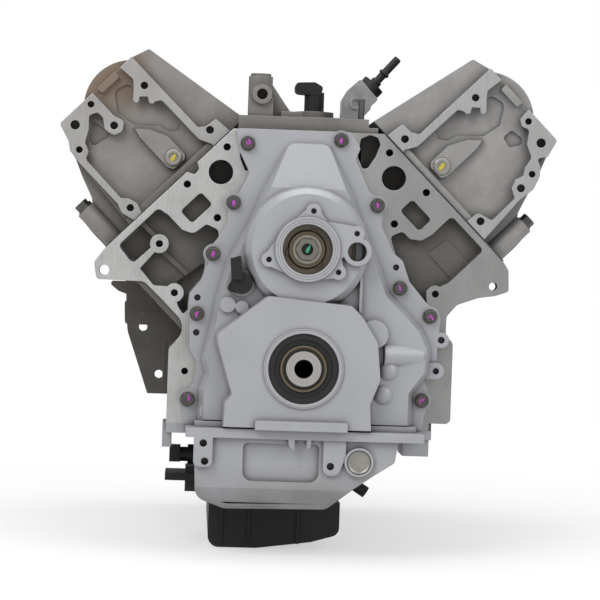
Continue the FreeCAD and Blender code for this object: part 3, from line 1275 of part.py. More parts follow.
def vent_elbow():
    """Cast elbow on the lid with a black union and a hose tail."""
    top = VALLEY_RAIL + 17
    body = prism([(38, top), (38, top + 22, 6), (44, top + 33, 4), (58, top + 46, 3), (78, top + 24, 3),
                  (70, top + 16, 4), (70, top + 13, 3), (58, top)], 66, 94)
    body = body.fuse(along_y(53, top + 19, 7, 63, 68)).cut(along_y(53, top + 19, 4, 62, 66))
    return body.removeSplitter()


def vent_hose_tail():
    start = Vector(68.5, 80, VALLEY_RAIL + 52.5)
    along = Vector(0.66, 0, 0.75).normalize()
    points = [(0, 0), (13, 0), (13, 8), (6, 8), (6, 13), (4.4, 14), (4.4, 22), (6, 23), (6, 25), (4.4, 27),
              (4.4, 46), (3.6, 47), (0, 47)]
    return turned(points, start, along)


def rear_cover():
    edge = [(-84, N.pan_rail), (84, N.pan_rail), (84, -20, 20), (62, 62, 20), (0, 76, 40), (-62, 62, 20),
            (-84, -20, 20)]
    plate = prism(edge, N.block_length, N.block_length + 6)
    return plate.cut(along_y(0, 0, 50, N.block_length - 1, N.block_length + 7))


add_shape("valley_cover", valley_cover())
add_shape("valley_cover_bolts", valley_bolts())
add_shape("pressure_sensor", pressure_sensor())
add_shape("vent_elbow", vent_elbow())
add_shape("vent_hose_tail", vent_hose_tail().cut(vent_elbow()))
add_shape("rear_cover", rear_cover())
seal("crank_rear_seal", Q.main_journal / 2 + 12 + Q.running_gap, Q.main_journal / 2 + 17.5, N.block_length, 6)


# Checks and files

doc.recompute()
for item in doc.Objects:
    if "Invalid" in item.State or "Error" in item.State:
        raise SystemExit(f"{item.Label} did not build: {item.State}")
for item in NODES:
    if item.Shape.isNull() or not item.Shape.isValid() or not item.Shape.Solids:
        raise SystemExit(f"{item.Label} has no valid solid")
os.makedirs("parts", exist_ok=True)
for item in NODES:
    item.Shape.exportStep(f"parts/{item.Label}.step")
print(f"{len(NODES)} pieces written")
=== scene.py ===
"""Dress of a pushrod V8 long block: finishes, fine pieces, studio and camera on the fixed frame.

Everything is in metres in the frame of the solids: +X to the right seen from the front,
+Y rearwards along the crankshaft and +Z up, with the origin on the crank axis in the plane
of the block's front face.
"""

import json
import logging
import math
import random
from dataclasses import dataclass, field
from enum import Enum
from typing import Iterable, Sequence

import bmesh
import bpy
from mathutils import Matrix, Vector


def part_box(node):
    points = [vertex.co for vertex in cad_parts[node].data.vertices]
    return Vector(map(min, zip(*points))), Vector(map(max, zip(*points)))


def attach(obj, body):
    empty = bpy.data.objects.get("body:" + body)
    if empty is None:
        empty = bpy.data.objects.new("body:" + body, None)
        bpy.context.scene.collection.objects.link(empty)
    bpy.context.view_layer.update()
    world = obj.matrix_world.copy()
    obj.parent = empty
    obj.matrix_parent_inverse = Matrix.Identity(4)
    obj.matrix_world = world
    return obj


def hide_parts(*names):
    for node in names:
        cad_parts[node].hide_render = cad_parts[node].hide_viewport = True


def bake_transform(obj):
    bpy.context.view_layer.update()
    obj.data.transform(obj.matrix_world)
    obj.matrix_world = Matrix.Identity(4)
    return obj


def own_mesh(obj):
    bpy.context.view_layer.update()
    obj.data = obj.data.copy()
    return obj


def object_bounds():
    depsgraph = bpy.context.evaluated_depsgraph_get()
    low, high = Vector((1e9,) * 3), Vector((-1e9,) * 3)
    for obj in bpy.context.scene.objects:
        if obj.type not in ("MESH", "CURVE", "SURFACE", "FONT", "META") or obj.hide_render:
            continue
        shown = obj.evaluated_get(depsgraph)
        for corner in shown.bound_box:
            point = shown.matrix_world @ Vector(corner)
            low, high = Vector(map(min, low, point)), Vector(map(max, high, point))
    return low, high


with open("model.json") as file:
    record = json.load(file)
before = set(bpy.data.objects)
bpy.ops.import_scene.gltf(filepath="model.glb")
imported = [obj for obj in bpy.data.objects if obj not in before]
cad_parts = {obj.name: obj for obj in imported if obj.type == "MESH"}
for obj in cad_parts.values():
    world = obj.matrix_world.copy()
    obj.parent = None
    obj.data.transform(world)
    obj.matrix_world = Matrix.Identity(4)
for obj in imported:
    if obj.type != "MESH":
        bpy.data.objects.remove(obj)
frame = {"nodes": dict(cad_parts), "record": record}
CAD_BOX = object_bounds()

LOG = logging.getLogger("long_block")
Colour = tuple[float, float, float]

# Sizes that several sub-assemblies share with the solids, in metres.
DECK_HEIGHT = 0.2347
CAM_HEIGHT = 0.1248
BANK_STAGGER = 0.02413
HEAD_FRONT = -0.0015
GASKET_THICKNESS = 0.0013
SEAT_RISE = 0.007
BORES_PER_BANK = 4


class Bank(Enum):
    """The two banks of cylinders, seen from the front."""

    LEFT = "left"
    RIGHT = "right"

    @property
    def side(self) -> int:
        """Sign of the bank's X."""
        return 1 if self is Bank.RIGHT else -1

    @property
    def stagger(self) -> float:
        """How far the bank lies behind the right one."""
        return 0.0 if self is Bank.RIGHT else BANK_STAGGER

    def place(self, across: float, along: float, height: float) -> Vector:
        """Point of the row frame from the bank's own upright frame.

        Args:
            across: Distance outwards from the bores' plane.
            along: Distance rearwards in the right bank's count.
            height: Distance from the crank axis up the bores.

        Returns:
            The same point in the row frame.
        """
        root = math.sqrt(2)
        return Vector((self.side * (across + height) / root, along + self.stagger, (height - across) / root))

    def direction(self, across: float, height: float) -> Vector:
        """Direction of the row frame from one in the bank's upright frame.

        Args:
            across: Share outwards.
            height: Share up the bores.

        Returns:
            A unit vector.
        """
        return (self.place(across, 0.0, height) - self.place(0.0, 0.0, 0.0)).normalized()


class Shader:
    """Node tree of one material, with a surface that the finishes fill in."""

    def __init__(self, name: str) -> None:
        """Makes the empty material.

        Args:
            name: Name of the material.
        """
        self.material = bpy.data.materials.new(name)
        self.material.use_nodes = True
        self.tree = self.material.node_tree
        self.surface = self.tree.nodes["Principled BSDF"]
        self.coordinates = self.add("ShaderNodeTexCoord").outputs["Object"]

    def add(self, kind: str, **settings: object) -> bpy.types.Node:
        """Adds a node.

        Args:
            kind: Type name of the node.
            **settings: Attributes of the node.

        Returns:
            The node.
        """
        node = self.tree.nodes.new(kind)
        for key, value in settings.items():
            setattr(node, key, value)
        return node

    def feed(self, socket: bpy.types.NodeSocket, value: object) -> None:
        """Links a socket into another one, or sets its plain value.

        Args:
            socket: Input that is fed.
            value: Output socket, number or colour.
        """
        if isinstance(value, bpy.types.NodeSocket):
            self.tree.links.new(value, socket)
        elif isinstance(value, tuple) and socket.type == "RGBA":
            socket.default_value = (*value[:3], 1.0)
        else:
            socket.default_value = value

    def math(self, operation: str, *values: object, clamp: bool = False) -> bpy.types.NodeSocket:
        """Arithmetic on numbers and sockets.

        Args:
            operation: Name of the operation.
            *values: Numbers or sockets.
            clamp: Whether the result stays between 0 and 1.

        Returns:
            The result's socket.
        """
        node = self.add("ShaderNodeMath", operation=operation, use_clamp=clamp)
        for socket, value in zip(node.inputs, values):
            self.feed(socket, value)
        return node.outputs[0]

    def noise(self, size: float, detail: float = 3.0,
              stretch: Sequence[float] = (1.0, 1.0, 1.0)) -> bpy.types.NodeSocket:
        """Cloudy noise with spots of a given size.

        Args:
            size: Size of a spot in metres.
            detail: Octaves.
            stretch: Factors by which the three directions are squeezed.

        Returns:
            Socket of the noise, about 0.5 on average.
        """
        mapping = self.add("ShaderNodeMapping")
        self.feed(mapping.inputs["Vector"], self.coordinates)
        mapping.inputs["Scale"].default_value = stretch
        node = self.add("ShaderNodeTexNoise")
        self.feed(node.inputs["Vector"], mapping.outputs[0])
        node.inputs["Scale"].default_value = 1.0 / size
        node.inputs["Detail"].default_value = detail
        return node.outputs["Fac"]

    def ramp(self, value: object, low: float, high: float) -> bpy.types.NodeSocket:
        """Stretches a range of a value to 0 to 1.

        Args:
            value: Socket to stretch.
            low: Value that becomes 0.
            high: Value that becomes 1.

        Returns:
            Socket of the clamped result.
        """
        node = self.add("ShaderNodeMapRange")
        self.feed(node.inputs["Value"], value)
        node.inputs["From Min"].default_value = low
        node.inputs["From Max"].default_value = high
        return node.outputs[0]

    def mix(self, share: object, first: object, second: object) -> bpy.types.NodeSocket:
        """Mixes two colours.

        Args:
            share: How much of the second colour shows.
            first: Colour or socket.
            second: Colour or socket.

        Returns:
            Socket of the mixed colour.
        """
        node = self.add("ShaderNodeMix", data_type="RGBA")
        self.feed(node.inputs[0], share)
        self.feed(node.inputs[6], first)
        self.feed(node.inputs[7], second)
        return node.outputs[2]

    def blend(self, share: object, first: object, second: object) -> bpy.types.NodeSocket:
        """Mixes two numbers.

        Args:
            share: How much of the second number shows.
            first: Number or socket.
            second: Number or socket.

        Returns:
            Socket of the mixed number.
        """
        node = self.add("ShaderNodeMix", data_type="FLOAT")
        self.feed(node.inputs[0], share)
        self.feed(node.inputs[2], first)
        self.feed(node.inputs[3], second)
        return node.outputs[0]

    def rounded(self, radius: float) -> bpy.types.NodeSocket:
        """Normals with the solids' edges rounded off.

        Args:
            radius: Radius of the rounding.

        Returns:
            Socket of the normals.
        """
        node = self.add("ShaderNodeBevel", samples=4)
        node.inputs["Radius"].default_value = radius
        return node.outputs[0]

    def edges(self, normal: bpy.types.NodeSocket) -> bpy.types.NodeSocket:
        """Mask of the rounded edges.

        Args:
            normal: Normals from rounded().

        Returns:
            Socket that is 0 on faces and rises to 1 along edges.
        """
        node = self.add("ShaderNodeVectorMath", operation="DOT_PRODUCT")
        self.feed(node.inputs[0], normal)
        self.feed(node.inputs[1], self.add("ShaderNodeNewGeometry").outputs["True Normal"])
        return self.ramp(node.outputs["Value"], 0.995, 0.86)

    def hollows(self, reach: float, start: float = 0.95, full: float = 0.35) -> bpy.types.NodeSocket:
        """Mask of corners and recesses, where painted shade and dirt are laid.

        Args:
            reach: How near other surfaces have to be.
            start: Openness at which the mask begins.
            full: Openness at which it is complete.

        Returns:
            Socket that is 0 in the open and rises to 1 in corners.
        """
        node = self.add("ShaderNodeAmbientOcclusion", samples=6)
        node.inputs["Distance"].default_value = reach
        return self.ramp(node.outputs["AO"], start, full)

    def radius(self, x: float, z: float) -> bpy.types.NodeSocket:
        """Distance from an axis that runs along Y.

        Args:
            x: Place of the axis.
            z: Its height.

        Returns:
            Socket of the distance in metres.
        """
        node = self.add("ShaderNodeVectorMath", operation="MULTIPLY_ADD")
        self.feed(node.inputs[0], self.coordinates)
        node.inputs[1].default_value = (1.0, 0.0, 1.0)
        node.inputs[2].default_value = (-x, 0.0, -z)
        length = self.add("ShaderNodeVectorMath", operation="LENGTH")
        self.feed(length.inputs[0], node.outputs[0])
        return length.outputs["Value"]

    def place(self, axis: str) -> bpy.types.NodeSocket:
        """Place along one axis of the frame.

        Args:
            axis: X, Y or Z.

        Returns:
            Socket of the place in metres.
        """
        node = self.add("ShaderNodeSeparateXYZ")
        self.feed(node.inputs[0], self.coordinates)
        return node.outputs[axis]

    def facing(self, axis: str, at: float | None, reach: float = 0.0006) -> bpy.types.NodeSocket:
        """Mask of faces square to an axis of the frame, at one place or anywhere.

        Args:
            axis: X, Y or Z.
            at: Place along the axis, or None for any.
            reach: How far from that place counts.

        Returns:
            Socket that is 1 on those faces.
        """
        normal = self.add("ShaderNodeSeparateXYZ")
        self.feed(normal.inputs[0], self.add("ShaderNodeNewGeometry").outputs["True Normal"])
        square = self.math("GREATER_THAN", self.math("ABSOLUTE", normal.outputs[axis]), 0.999)
        if at is None:
            return square
        near = self.math("COMPARE", self.place(axis), at, reach)
        return self.math("MULTIPLY", square, near)

    def bump(self, height: object, depth: float, normal: object = None,
             strength: float = 1.0) -> bpy.types.NodeSocket:
        """Bumps on top of other normals.

        Args:
            height: Socket of the height.
            depth: Height of the bumps in metres.
            normal: Normals below, or None.
            strength: How much of the bumps shows.

        Returns:
            Socket of the normals.
        """
        node = self.add("ShaderNodeBump")
        node.inputs["Distance"].default_value = depth
        self.feed(node.inputs["Strength"], strength)
        self.feed(node.inputs["Height"], height)
        if normal is not None:
            self.feed(node.inputs["Normal"], normal)
        return node.outputs[0]

    def finish(self, colour: object, roughness: object, normal: object,
               metallic: object = 0.0) -> bpy.types.Material:
        """Fills in the surface.

        Args:
            colour: Colour or socket.
            roughness: Number or socket.
            normal: Socket of the normals.
            metallic: Number or socket.

        Returns:
            The finished material.
        """
        self.feed(self.surface.inputs["Base Color"], colour)
        self.feed(self.surface.inputs["Roughness"], roughness)
        self.feed(self.surface.inputs["Metallic"], metallic)
        if normal is not None:
            self.feed(self.surface.inputs["Normal"], normal)
        return self.material


@dataclass(frozen=True)
class CastAluminium:
    """Sand cast aluminium with brighter milled faces, dirt and painted shade in its corners, and lighter
    edges, part worn and part painted highlight.
    """

    name: str
    raw: Colour = (0.2, 0.192, 0.184)
    milled: Colour = (0.47, 0.465, 0.46)
    grime_and_shade: Colour = (0.03, 0.026, 0.022)
    milled_planes: tuple[tuple[str, float | None], ...] = ()
    right_darkening: float = 0.0
    rust_tint: Colour | None = None
    rust_side: tuple[float, float] = (-0.168, -0.195)
    rust_height: tuple[float, float] = (0.258, 0.285)
    right_darkening_span: tuple[float, float] = (-0.03, 0.1)
    grain: float = 0.0012
    grain_depth: float = 0.00022

    def build(self) -> bpy.types.Material:
        """Returns the material."""
        shader = Shader(self.name)
        milled: object = 0.0
        for axis, at in self.milled_planes:
            milled = shader.math("MAXIMUM", milled, shader.facing(axis, at))
        rounded = shader.rounded(0.0011)
        edges = shader.edges(rounded)
        clouds = shader.noise(0.045, 4.0)
        spots = shader.noise(0.007, 5.0)
        raw = shader.mix(shader.ramp(clouds, 0.35, 0.65), tuple(0.78 * c for c in self.raw), self.raw)
        raw = shader.mix(shader.math("MULTIPLY", shader.ramp(spots, 0.52, 0.75), 0.35), raw,
                         tuple(1.3 * c for c in self.raw))
        # Painted shade: the raw colour darkens in recesses and corners.
        shade = shader.math("MULTIPLY", shader.hollows(0.045), 0.45)
        raw = shader.mix(shade, raw, tuple(0.45 * c for c in self.raw))
        # Dirt and painted shade: tight corners darken towards near black in cloudy patches.
        stain_and_shade = shader.math("MULTIPLY", shader.hollows(0.012), shader.ramp(clouds, 0.25, 0.6), clamp=True)
        raw = shader.mix(shader.math("MULTIPLY", stain_and_shade, 0.8), raw, self.grime_and_shade)
        if self.rust_tint:
            outward = shader.ramp(shader.place("X"), *self.rust_side)
            tinted = shader.math("MULTIPLY", outward, shader.ramp(shader.place("Z"), *self.rust_height))
            raw = shader.mix(shader.math("MULTIPLY", tinted, 0.85), raw, self.rust_tint)
        # Lighter edges, part worn and part painted highlight where the edges catch the light.
        raw = shader.mix(shader.math("MULTIPLY", edges, 0.4), raw, self.milled)
        feed_marks = shader.noise(0.0016, 2.0, (1.0, 1.0, 0.08))
        darker = tuple(0.86 * c for c in self.milled)
        bright = shader.mix(shader.ramp(feed_marks, 0.3, 0.7), darker, self.milled)
        bright = shader.mix(shader.math("MULTIPLY", shader.ramp(clouds, 0.45, 0.7), 0.35), bright, self.raw)
        # The milled face gets darker towards the right.
        if self.right_darkening:
            right_darkening_mask = shader.math("MULTIPLY", shader.ramp(shader.place("X"), *self.right_darkening_span), self.right_darkening)
            bright = shader.mix(right_darkening_mask, bright, tuple(0.4 * c for c in self.milled))
        colour = shader.mix(milled, raw, bright)
        roughness = shader.blend(milled, shader.blend(spots, 0.52, 0.7), 0.36)
        grain = shader.noise(self.grain, 3.0)
        normal = shader.bump(grain, self.grain_depth, rounded, shader.blend(milled, 0.75, 0.06))
        return shader.finish(colour, roughness, normal, shader.blend(milled, 0.3, 0.75))


@dataclass(frozen=True)
class SatinPaint:
    """Smooth satin paint sprayed over a casting, with rings turned into it, painted shade in its corners and
    grooves, and a darker lower part.
    """

    name: str
    paint: Colour = (0.32, 0.325, 0.342)
    grime_and_shade: Colour = (0.09, 0.085, 0.08)
    lower_darkening: Colour = (0.1, 0.088, 0.07)
    lower_darkening_heights: tuple[float, float] = (-0.104, -0.15)
    grooves: tuple[tuple[float, float, float], ...] = (
        (0.0, CAM_HEIGHT, 0.0286), (0.0, CAM_HEIGHT, 0.0312), (0.0, 0.0, 0.0405))

    def build(self) -> bpy.types.Material:
        """Returns the material."""
        shader = Shader(self.name)
        rounded = shader.rounded(0.0016)
        clouds = shader.noise(0.06, 3.0)
        orange_peel = shader.noise(0.0022, 2.0)
        cast = shader.noise(0.006, 3.0)
        paint = shader.mix(shader.ramp(clouds, 0.3, 0.7), tuple(0.92 * c for c in self.paint), self.paint)
        # Painted shade: the paint darkens in recesses and corners.
        shade = shader.math("MULTIPLY", shader.hollows(0.03), 0.35)
        paint = shader.mix(shade, paint, tuple(0.5 * c for c in self.paint))
        # Dirt and painted shade in tight corners.
        paint = shader.mix(shader.math("MULTIPLY", shader.hollows(0.006), 0.6), paint, self.grime_and_shade)
        # Painted shadow: the deepest corners go near black.
        paint = shader.mix(shader.hollows(0.009, 0.42, 0.2), paint, (0.012, 0.011, 0.01))
        # The paint gets darker in cloudy patches towards the bottom.
        low = shader.ramp(shader.place("Z"), *self.lower_darkening_heights)
        low = shader.math("MULTIPLY", low, shader.ramp(clouds, 0.1, 0.6))
        paint = shader.mix(shader.math("MULTIPLY", low, 0.85), paint, self.lower_darkening)
        # Painted shade in the turned grooves: thin rings around the axes darken on the front faces.
        groove: object = 0.0
        for x, z, at in self.grooves:
            groove = shader.math("MAXIMUM", groove, shader.math("COMPARE", shader.radius(x, z), at, 0.00035))
        front = shader.math("LESS_THAN", shader.place("Y"), -0.03)
        groove = shader.math("MULTIPLY", groove, shader.math("MULTIPLY", front, shader.facing("Y", None)))
        paint = shader.mix(shader.math("MULTIPLY", groove, 0.7), paint, self.grime_and_shade)
        roughness = shader.blend(clouds, 0.36, 0.48)
        normal = shader.bump(cast, 0.0003, rounded, 0.4)
        normal = shader.bump(orange_peel, 0.00008, normal, 0.4)
        shader.surface.inputs["Coat Weight"].default_value = 0.1
        shader.surface.inputs["Coat Roughness"].default_value = 0.3
        return shader.finish(paint, roughness, normal, 0.2)


@dataclass(frozen=True)
class Turned:
    """Parts turned about an axis along Y, each band of radii with its own look."""

    name: str
    axis: tuple[float, float]
    bands: tuple[tuple[float, Colour, float, float], ...]

    def build(self) -> bpy.types.Material:
        """Returns the material."""
        shader = Shader(self.name)
        rounded = shader.rounded(0.0005)
        radius = shader.radius(*self.axis)
        _, colour, roughness, metallic = self.bands[0]
        for reach, inner_colour, inner_roughness, inner_metallic in self.bands[1:]:
            inside = shader.math("LESS_THAN", radius, reach)
            colour = shader.mix(inside, colour, inner_colour)
            roughness = shader.blend(inside, roughness, inner_roughness)
            metallic = shader.blend(inside, metallic, inner_metallic)
        rings = shader.add("ShaderNodeTexNoise", noise_dimensions="1D")
        shader.feed(rings.inputs["W"], radius)
        rings.inputs["Scale"].default_value = 1400.0
        ring_share = shader.math("MULTIPLY", shader.ramp(rings.outputs["Fac"], 0.35, 0.65), 0.3)
        colour = shader.mix(ring_share, colour, (0.02, 0.018, 0.015))
        # Painted shade: corners darken towards near black.
        colour = shader.mix(shader.math("MULTIPLY", shader.hollows(0.004), 0.7), colour, (0.012, 0.011, 0.01))
        normal = shader.bump(rings.outputs["Fac"], 0.00006, rounded, 0.6)
        shader.surface.inputs["Specular IOR Level"].default_value = 0.25
        return shader.finish(colour, roughness, normal, metallic)


@dataclass(frozen=True)
class Steel:
    """Turned, ground or phosphated steel."""

    name: str
    colour: Colour
    roughness: float = 0.3
    metallic: float = 1.0
    edge_wear_and_highlight: Colour = (0.6, 0.6, 0.6)
    edge_wear_and_highlight_share: float = 0.3

    def build(self) -> bpy.types.Material:
        """Returns the material."""
        shader = Shader(self.name)
        rounded = shader.rounded(0.0005)
        edges = shader.edges(rounded)
        clouds = shader.noise(0.012, 4.0)
        fine = shader.noise(0.0007, 2.0)
        colour = shader.mix(shader.ramp(clouds, 0.3, 0.7), tuple(0.72 * c for c in self.colour), self.colour)
        # Lighter edges, part worn and part painted highlight where the edges catch the light.
        colour = shader.mix(shader.math("MULTIPLY", edges, self.edge_wear_and_highlight_share), colour, self.edge_wear_and_highlight)
        roughness = shader.blend(clouds, self.roughness * 0.85, min(1.0, self.roughness * 1.3))
        normal = shader.bump(fine, 0.00005, rounded, 0.5)
        return shader.finish(colour, roughness, normal, self.metallic)


@dataclass(frozen=True)
class Moulded:
    """Moulded plastic or rubber with a fine skin."""

    name: str
    colour: Colour
    roughness: float = 0.45
    skin: float = 0.0006

    def build(self) -> bpy.types.Material:
        """Returns the material."""
        shader = Shader(self.name)
        rounded = shader.rounded(0.0007)
        clouds = shader.noise(0.02, 3.0)
        skin = shader.noise(self.skin, 2.0)
        edges = shader.edges(rounded)
        shader.surface.inputs["Specular IOR Level"].default_value = 0.3
        colour = shader.mix(shader.ramp(clouds, 0.3, 0.7), tuple(0.7 * c for c in self.colour), self.colour)
        # Painted highlight: the edges brighten to 2.4 times the colour.
        colour = shader.mix(shader.math("MULTIPLY", edges, 0.3), colour, tuple(2.4 * c for c in self.colour))
        roughness = shader.blend(clouds, self.roughness, min(1.0, self.roughness + 0.18))
        return shader.finish(colour, roughness, shader.bump(skin, 0.00008, rounded, 0.6))


@dataclass(frozen=True)
class MarkerPaint:
    """Inspection paint dabbed on by hand."""

    name: str
    colour: Colour

    def build(self) -> bpy.types.Material:
        """Returns the material."""
        shader = Shader(self.name)
        streaks = shader.noise(0.0012, 3.0)
        colour = shader.mix(shader.ramp(streaks, 0.3, 0.7), tuple(0.6 * c for c in self.colour), self.colour)
        return shader.finish(colour, 0.5, shader.bump(streaks, 0.0001, None, 0.6))


class Finish(Enum):
    """Finishes of the engine, by the part of it that wears them."""

    BLOCK = CastAluminium("block_casting", raw=(0.1, 0.094, 0.086), milled=(0.44, 0.435, 0.43),
                          milled_planes=(("Y", 0.0), ("Y", 0.5)), right_darkening=0.65)
    LEFT_HEAD = CastAluminium("left_head_casting", raw=(0.225, 0.212, 0.2), milled=(0.36, 0.355, 0.35),
                              milled_planes=(("Y", HEAD_FRONT + BANK_STAGGER),),
                              rust_tint=(0.165, 0.115, 0.08))
    RIGHT_HEAD = CastAluminium("right_head_casting", raw=(0.26, 0.255, 0.25), milled=(0.36, 0.358, 0.355),
                               milled_planes=(("Y", HEAD_FRONT),))
    FITTINGS = CastAluminium("fitting_casting", raw=(0.18, 0.172, 0.162))
    PAINT = SatinPaint("cover_paint")
    BOLT = Steel("bolt_steel", (0.085, 0.082, 0.08), 0.38, 0.85, (0.36, 0.33, 0.29), 0.6)
    MACHINED = Steel("machined_steel", (0.42, 0.41, 0.39), 0.26)
    FORGED = Steel("forged_steel", (0.2, 0.19, 0.18), 0.42)
    SPRING = Steel("spring_steel", (0.14, 0.145, 0.155), 0.3)
    PISTON = Steel("piston_alloy", (0.55, 0.55, 0.56), 0.34)
    BEARING = Steel("bearing_lining", (0.5, 0.47, 0.42), 0.35)
    GASKET = Steel("gasket_steel", (0.035, 0.034, 0.033), 0.55, 0.5)
    PLUG = Steel("plug_plating", (0.27, 0.26, 0.24), 0.36, 0.6)
    RUBBER = Moulded("seal_rubber", (0.013, 0.013, 0.014), 0.5)
    PLASTIC = Moulded("black_plastic", (0.008, 0.008, 0.009), 0.45)
    BRACKET = Steel("stained_sheet", (0.085, 0.076, 0.066), 0.6, 0.3, (0.2, 0.17, 0.14), 0.3)
    ELBOW = Steel("die_cast_elbow", (0.26, 0.26, 0.265), 0.36, 0.7)
    # The innermost, dark band is painted shade in the bolt's recess.
    PHASER = Turned("phaser_steel", (0.0, CAM_HEIGHT), (
        (1.0, (0.13, 0.112, 0.086), 0.4, 0.85), (0.0205, (0.012, 0.011, 0.01), 0.6, 0.3),
        (0.0188, (0.15, 0.125, 0.088), 0.35, 0.9), (0.0155, (0.34, 0.32, 0.28), 0.3, 0.9),
        (0.0126, (0.2, 0.19, 0.17), 0.3, 0.9), (0.0062, (0.035, 0.033, 0.03), 0.45, 0.6)))
    SEAL = Turned("seal_rings", (0.0, 0.0), (
        (1.0, (0.014, 0.014, 0.015), 0.5, 0.0), (0.0262, (0.006, 0.006, 0.006), 0.6, 0.0),
        (0.0242, (0.15, 0.12, 0.08), 0.38, 0.8), (0.0222, (0.03, 0.026, 0.02), 0.5, 0.5)))
    CRANK = Turned("crank_steel", (0.0, 0.0), (
        (1.0, (0.2, 0.19, 0.18), 0.42, 1.0), (0.0345, (0.4, 0.39, 0.37), 0.25, 1.0),
        (0.0186, (0.42, 0.41, 0.395), 0.28, 0.95), (0.01, (0.01, 0.009, 0.008), 0.7, 0.2)))
    MAGENTA = MarkerPaint("magenta_dab", (0.46, 0.055, 0.42))
    YELLOW = MarkerPaint("yellow_dab", (0.55, 0.45, 0.05))
    GREEN = MarkerPaint("green_dab", (0.03, 0.36, 0.2))


class Paintbox:
    """Builds each finish once and hands it out."""

    def __init__(self) -> None:
        """Starts with no material made."""
        self.made: dict[Finish, bpy.types.Material] = {}

    def take(self, finish: Finish) -> bpy.types.Material:
        """Returns the material of a finish."""
        if finish not in self.made:
            self.made[finish] = finish.value.build()
        return self.made[finish]


@dataclass
class Castings:
    """The carried-over solids: each gets the finish of its slot, or one of its own."""

    paints: Paintbox
    by_slot: dict[str, Finish] = field(default_factory=lambda: {
        "cast_block": Finish.BLOCK, "cast_head": Finish.FITTINGS, "painted_cover": Finish.PAINT,
        "bolt_dark": Finish.BOLT, "machined_steel": Finish.MACHINED, "forged_steel": Finish.FORGED,
        "spring_steel": Finish.SPRING, "piston_alloy": Finish.PISTON, "bearing_metal": Finish.BEARING,
        "gasket_steel": Finish.GASKET, "plug_metal": Finish.PLUG, "rubber_black": Finish.RUBBER,
        "plastic_black": Finish.PLASTIC, "bracket_brown": Finish.BRACKET, "elbow_silver": Finish.ELBOW,
    })
    own: dict[str, Finish] = field(default_factory=lambda: {
        "cylinder_head_left": Finish.LEFT_HEAD, "cylinder_head_right": Finish.RIGHT_HEAD,
        "cam_phaser": Finish.PHASER, "crank_front_seal": Finish.SEAL, "crankshaft": Finish.CRANK,
    })

    def dress(self) -> None:
        """Gives every solid its material."""
        for entry in frame["record"]["subparts"]:
            node = frame["nodes"][entry["node"]]
            finish = self.own.get(entry["node"], self.by_slot[entry["material_slot"]])
            node.data.materials.clear()
            node.data.materials.append(self.paints.take(finish))
            LOG.info("%s wears %s", node.name, finish.name)


def new_object(name: str, mesh: bmesh.types.BMesh, material: bpy.types.Material) -> bpy.types.Object:
    """Makes an object of a finished mesh.

    Args:
        name: Name of the object.
        mesh: Mesh in the row frame, freed here.
        material: Its material.

    Returns:
        The object, linked to the scene.
    """
    data = bpy.data.meshes.new(name)
    mesh.to_mesh(data)
    mesh.free()
    data.materials.append(material)
    made = bpy.data.objects.new(name, data)
    bpy.context.scene.collection.objects.link(made)
    return made


def sweep(mesh: bmesh.types.BMesh, path: Sequence[Vector], radius: float, sides: int = 8) -> None:
    """Adds a round wire along a path to a mesh.

    Args:
        mesh: Mesh that grows.
        path: Points along the wire's middle.
        radius: Radius of the wire.
        sides: Corners of its section.
    """
    rings = []
    for index, point in enumerate(path):
        ahead = path[min(index + 1, len(path) - 1)] - path[max(index - 1, 0)]
        turn = ahead.to_track_quat("Z", "Y").to_matrix()
        ring = []
        for corner in range(sides):
            angle = 2 * math.pi * corner / sides
            spoke = Vector((radius * math.cos(angle), radius * math.sin(angle), 0))
            ring.append(mesh.verts.new(point + turn @ spoke))
        rings.append(ring)
    for first, second in zip(rings, rings[1:]):
        offset = min(range(sides), key=lambda k: (second[k].co - first[0].co).length)
        for corner in range(sides):
            following = (corner + 1) % sides
            mesh.faces.new((first[corner], first[following], second[(following + offset) % sides],
                            second[(corner + offset) % sides])).smooth = True
    mesh.faces.new(list(reversed(rings[0])))
    mesh.faces.new(rings[-1])


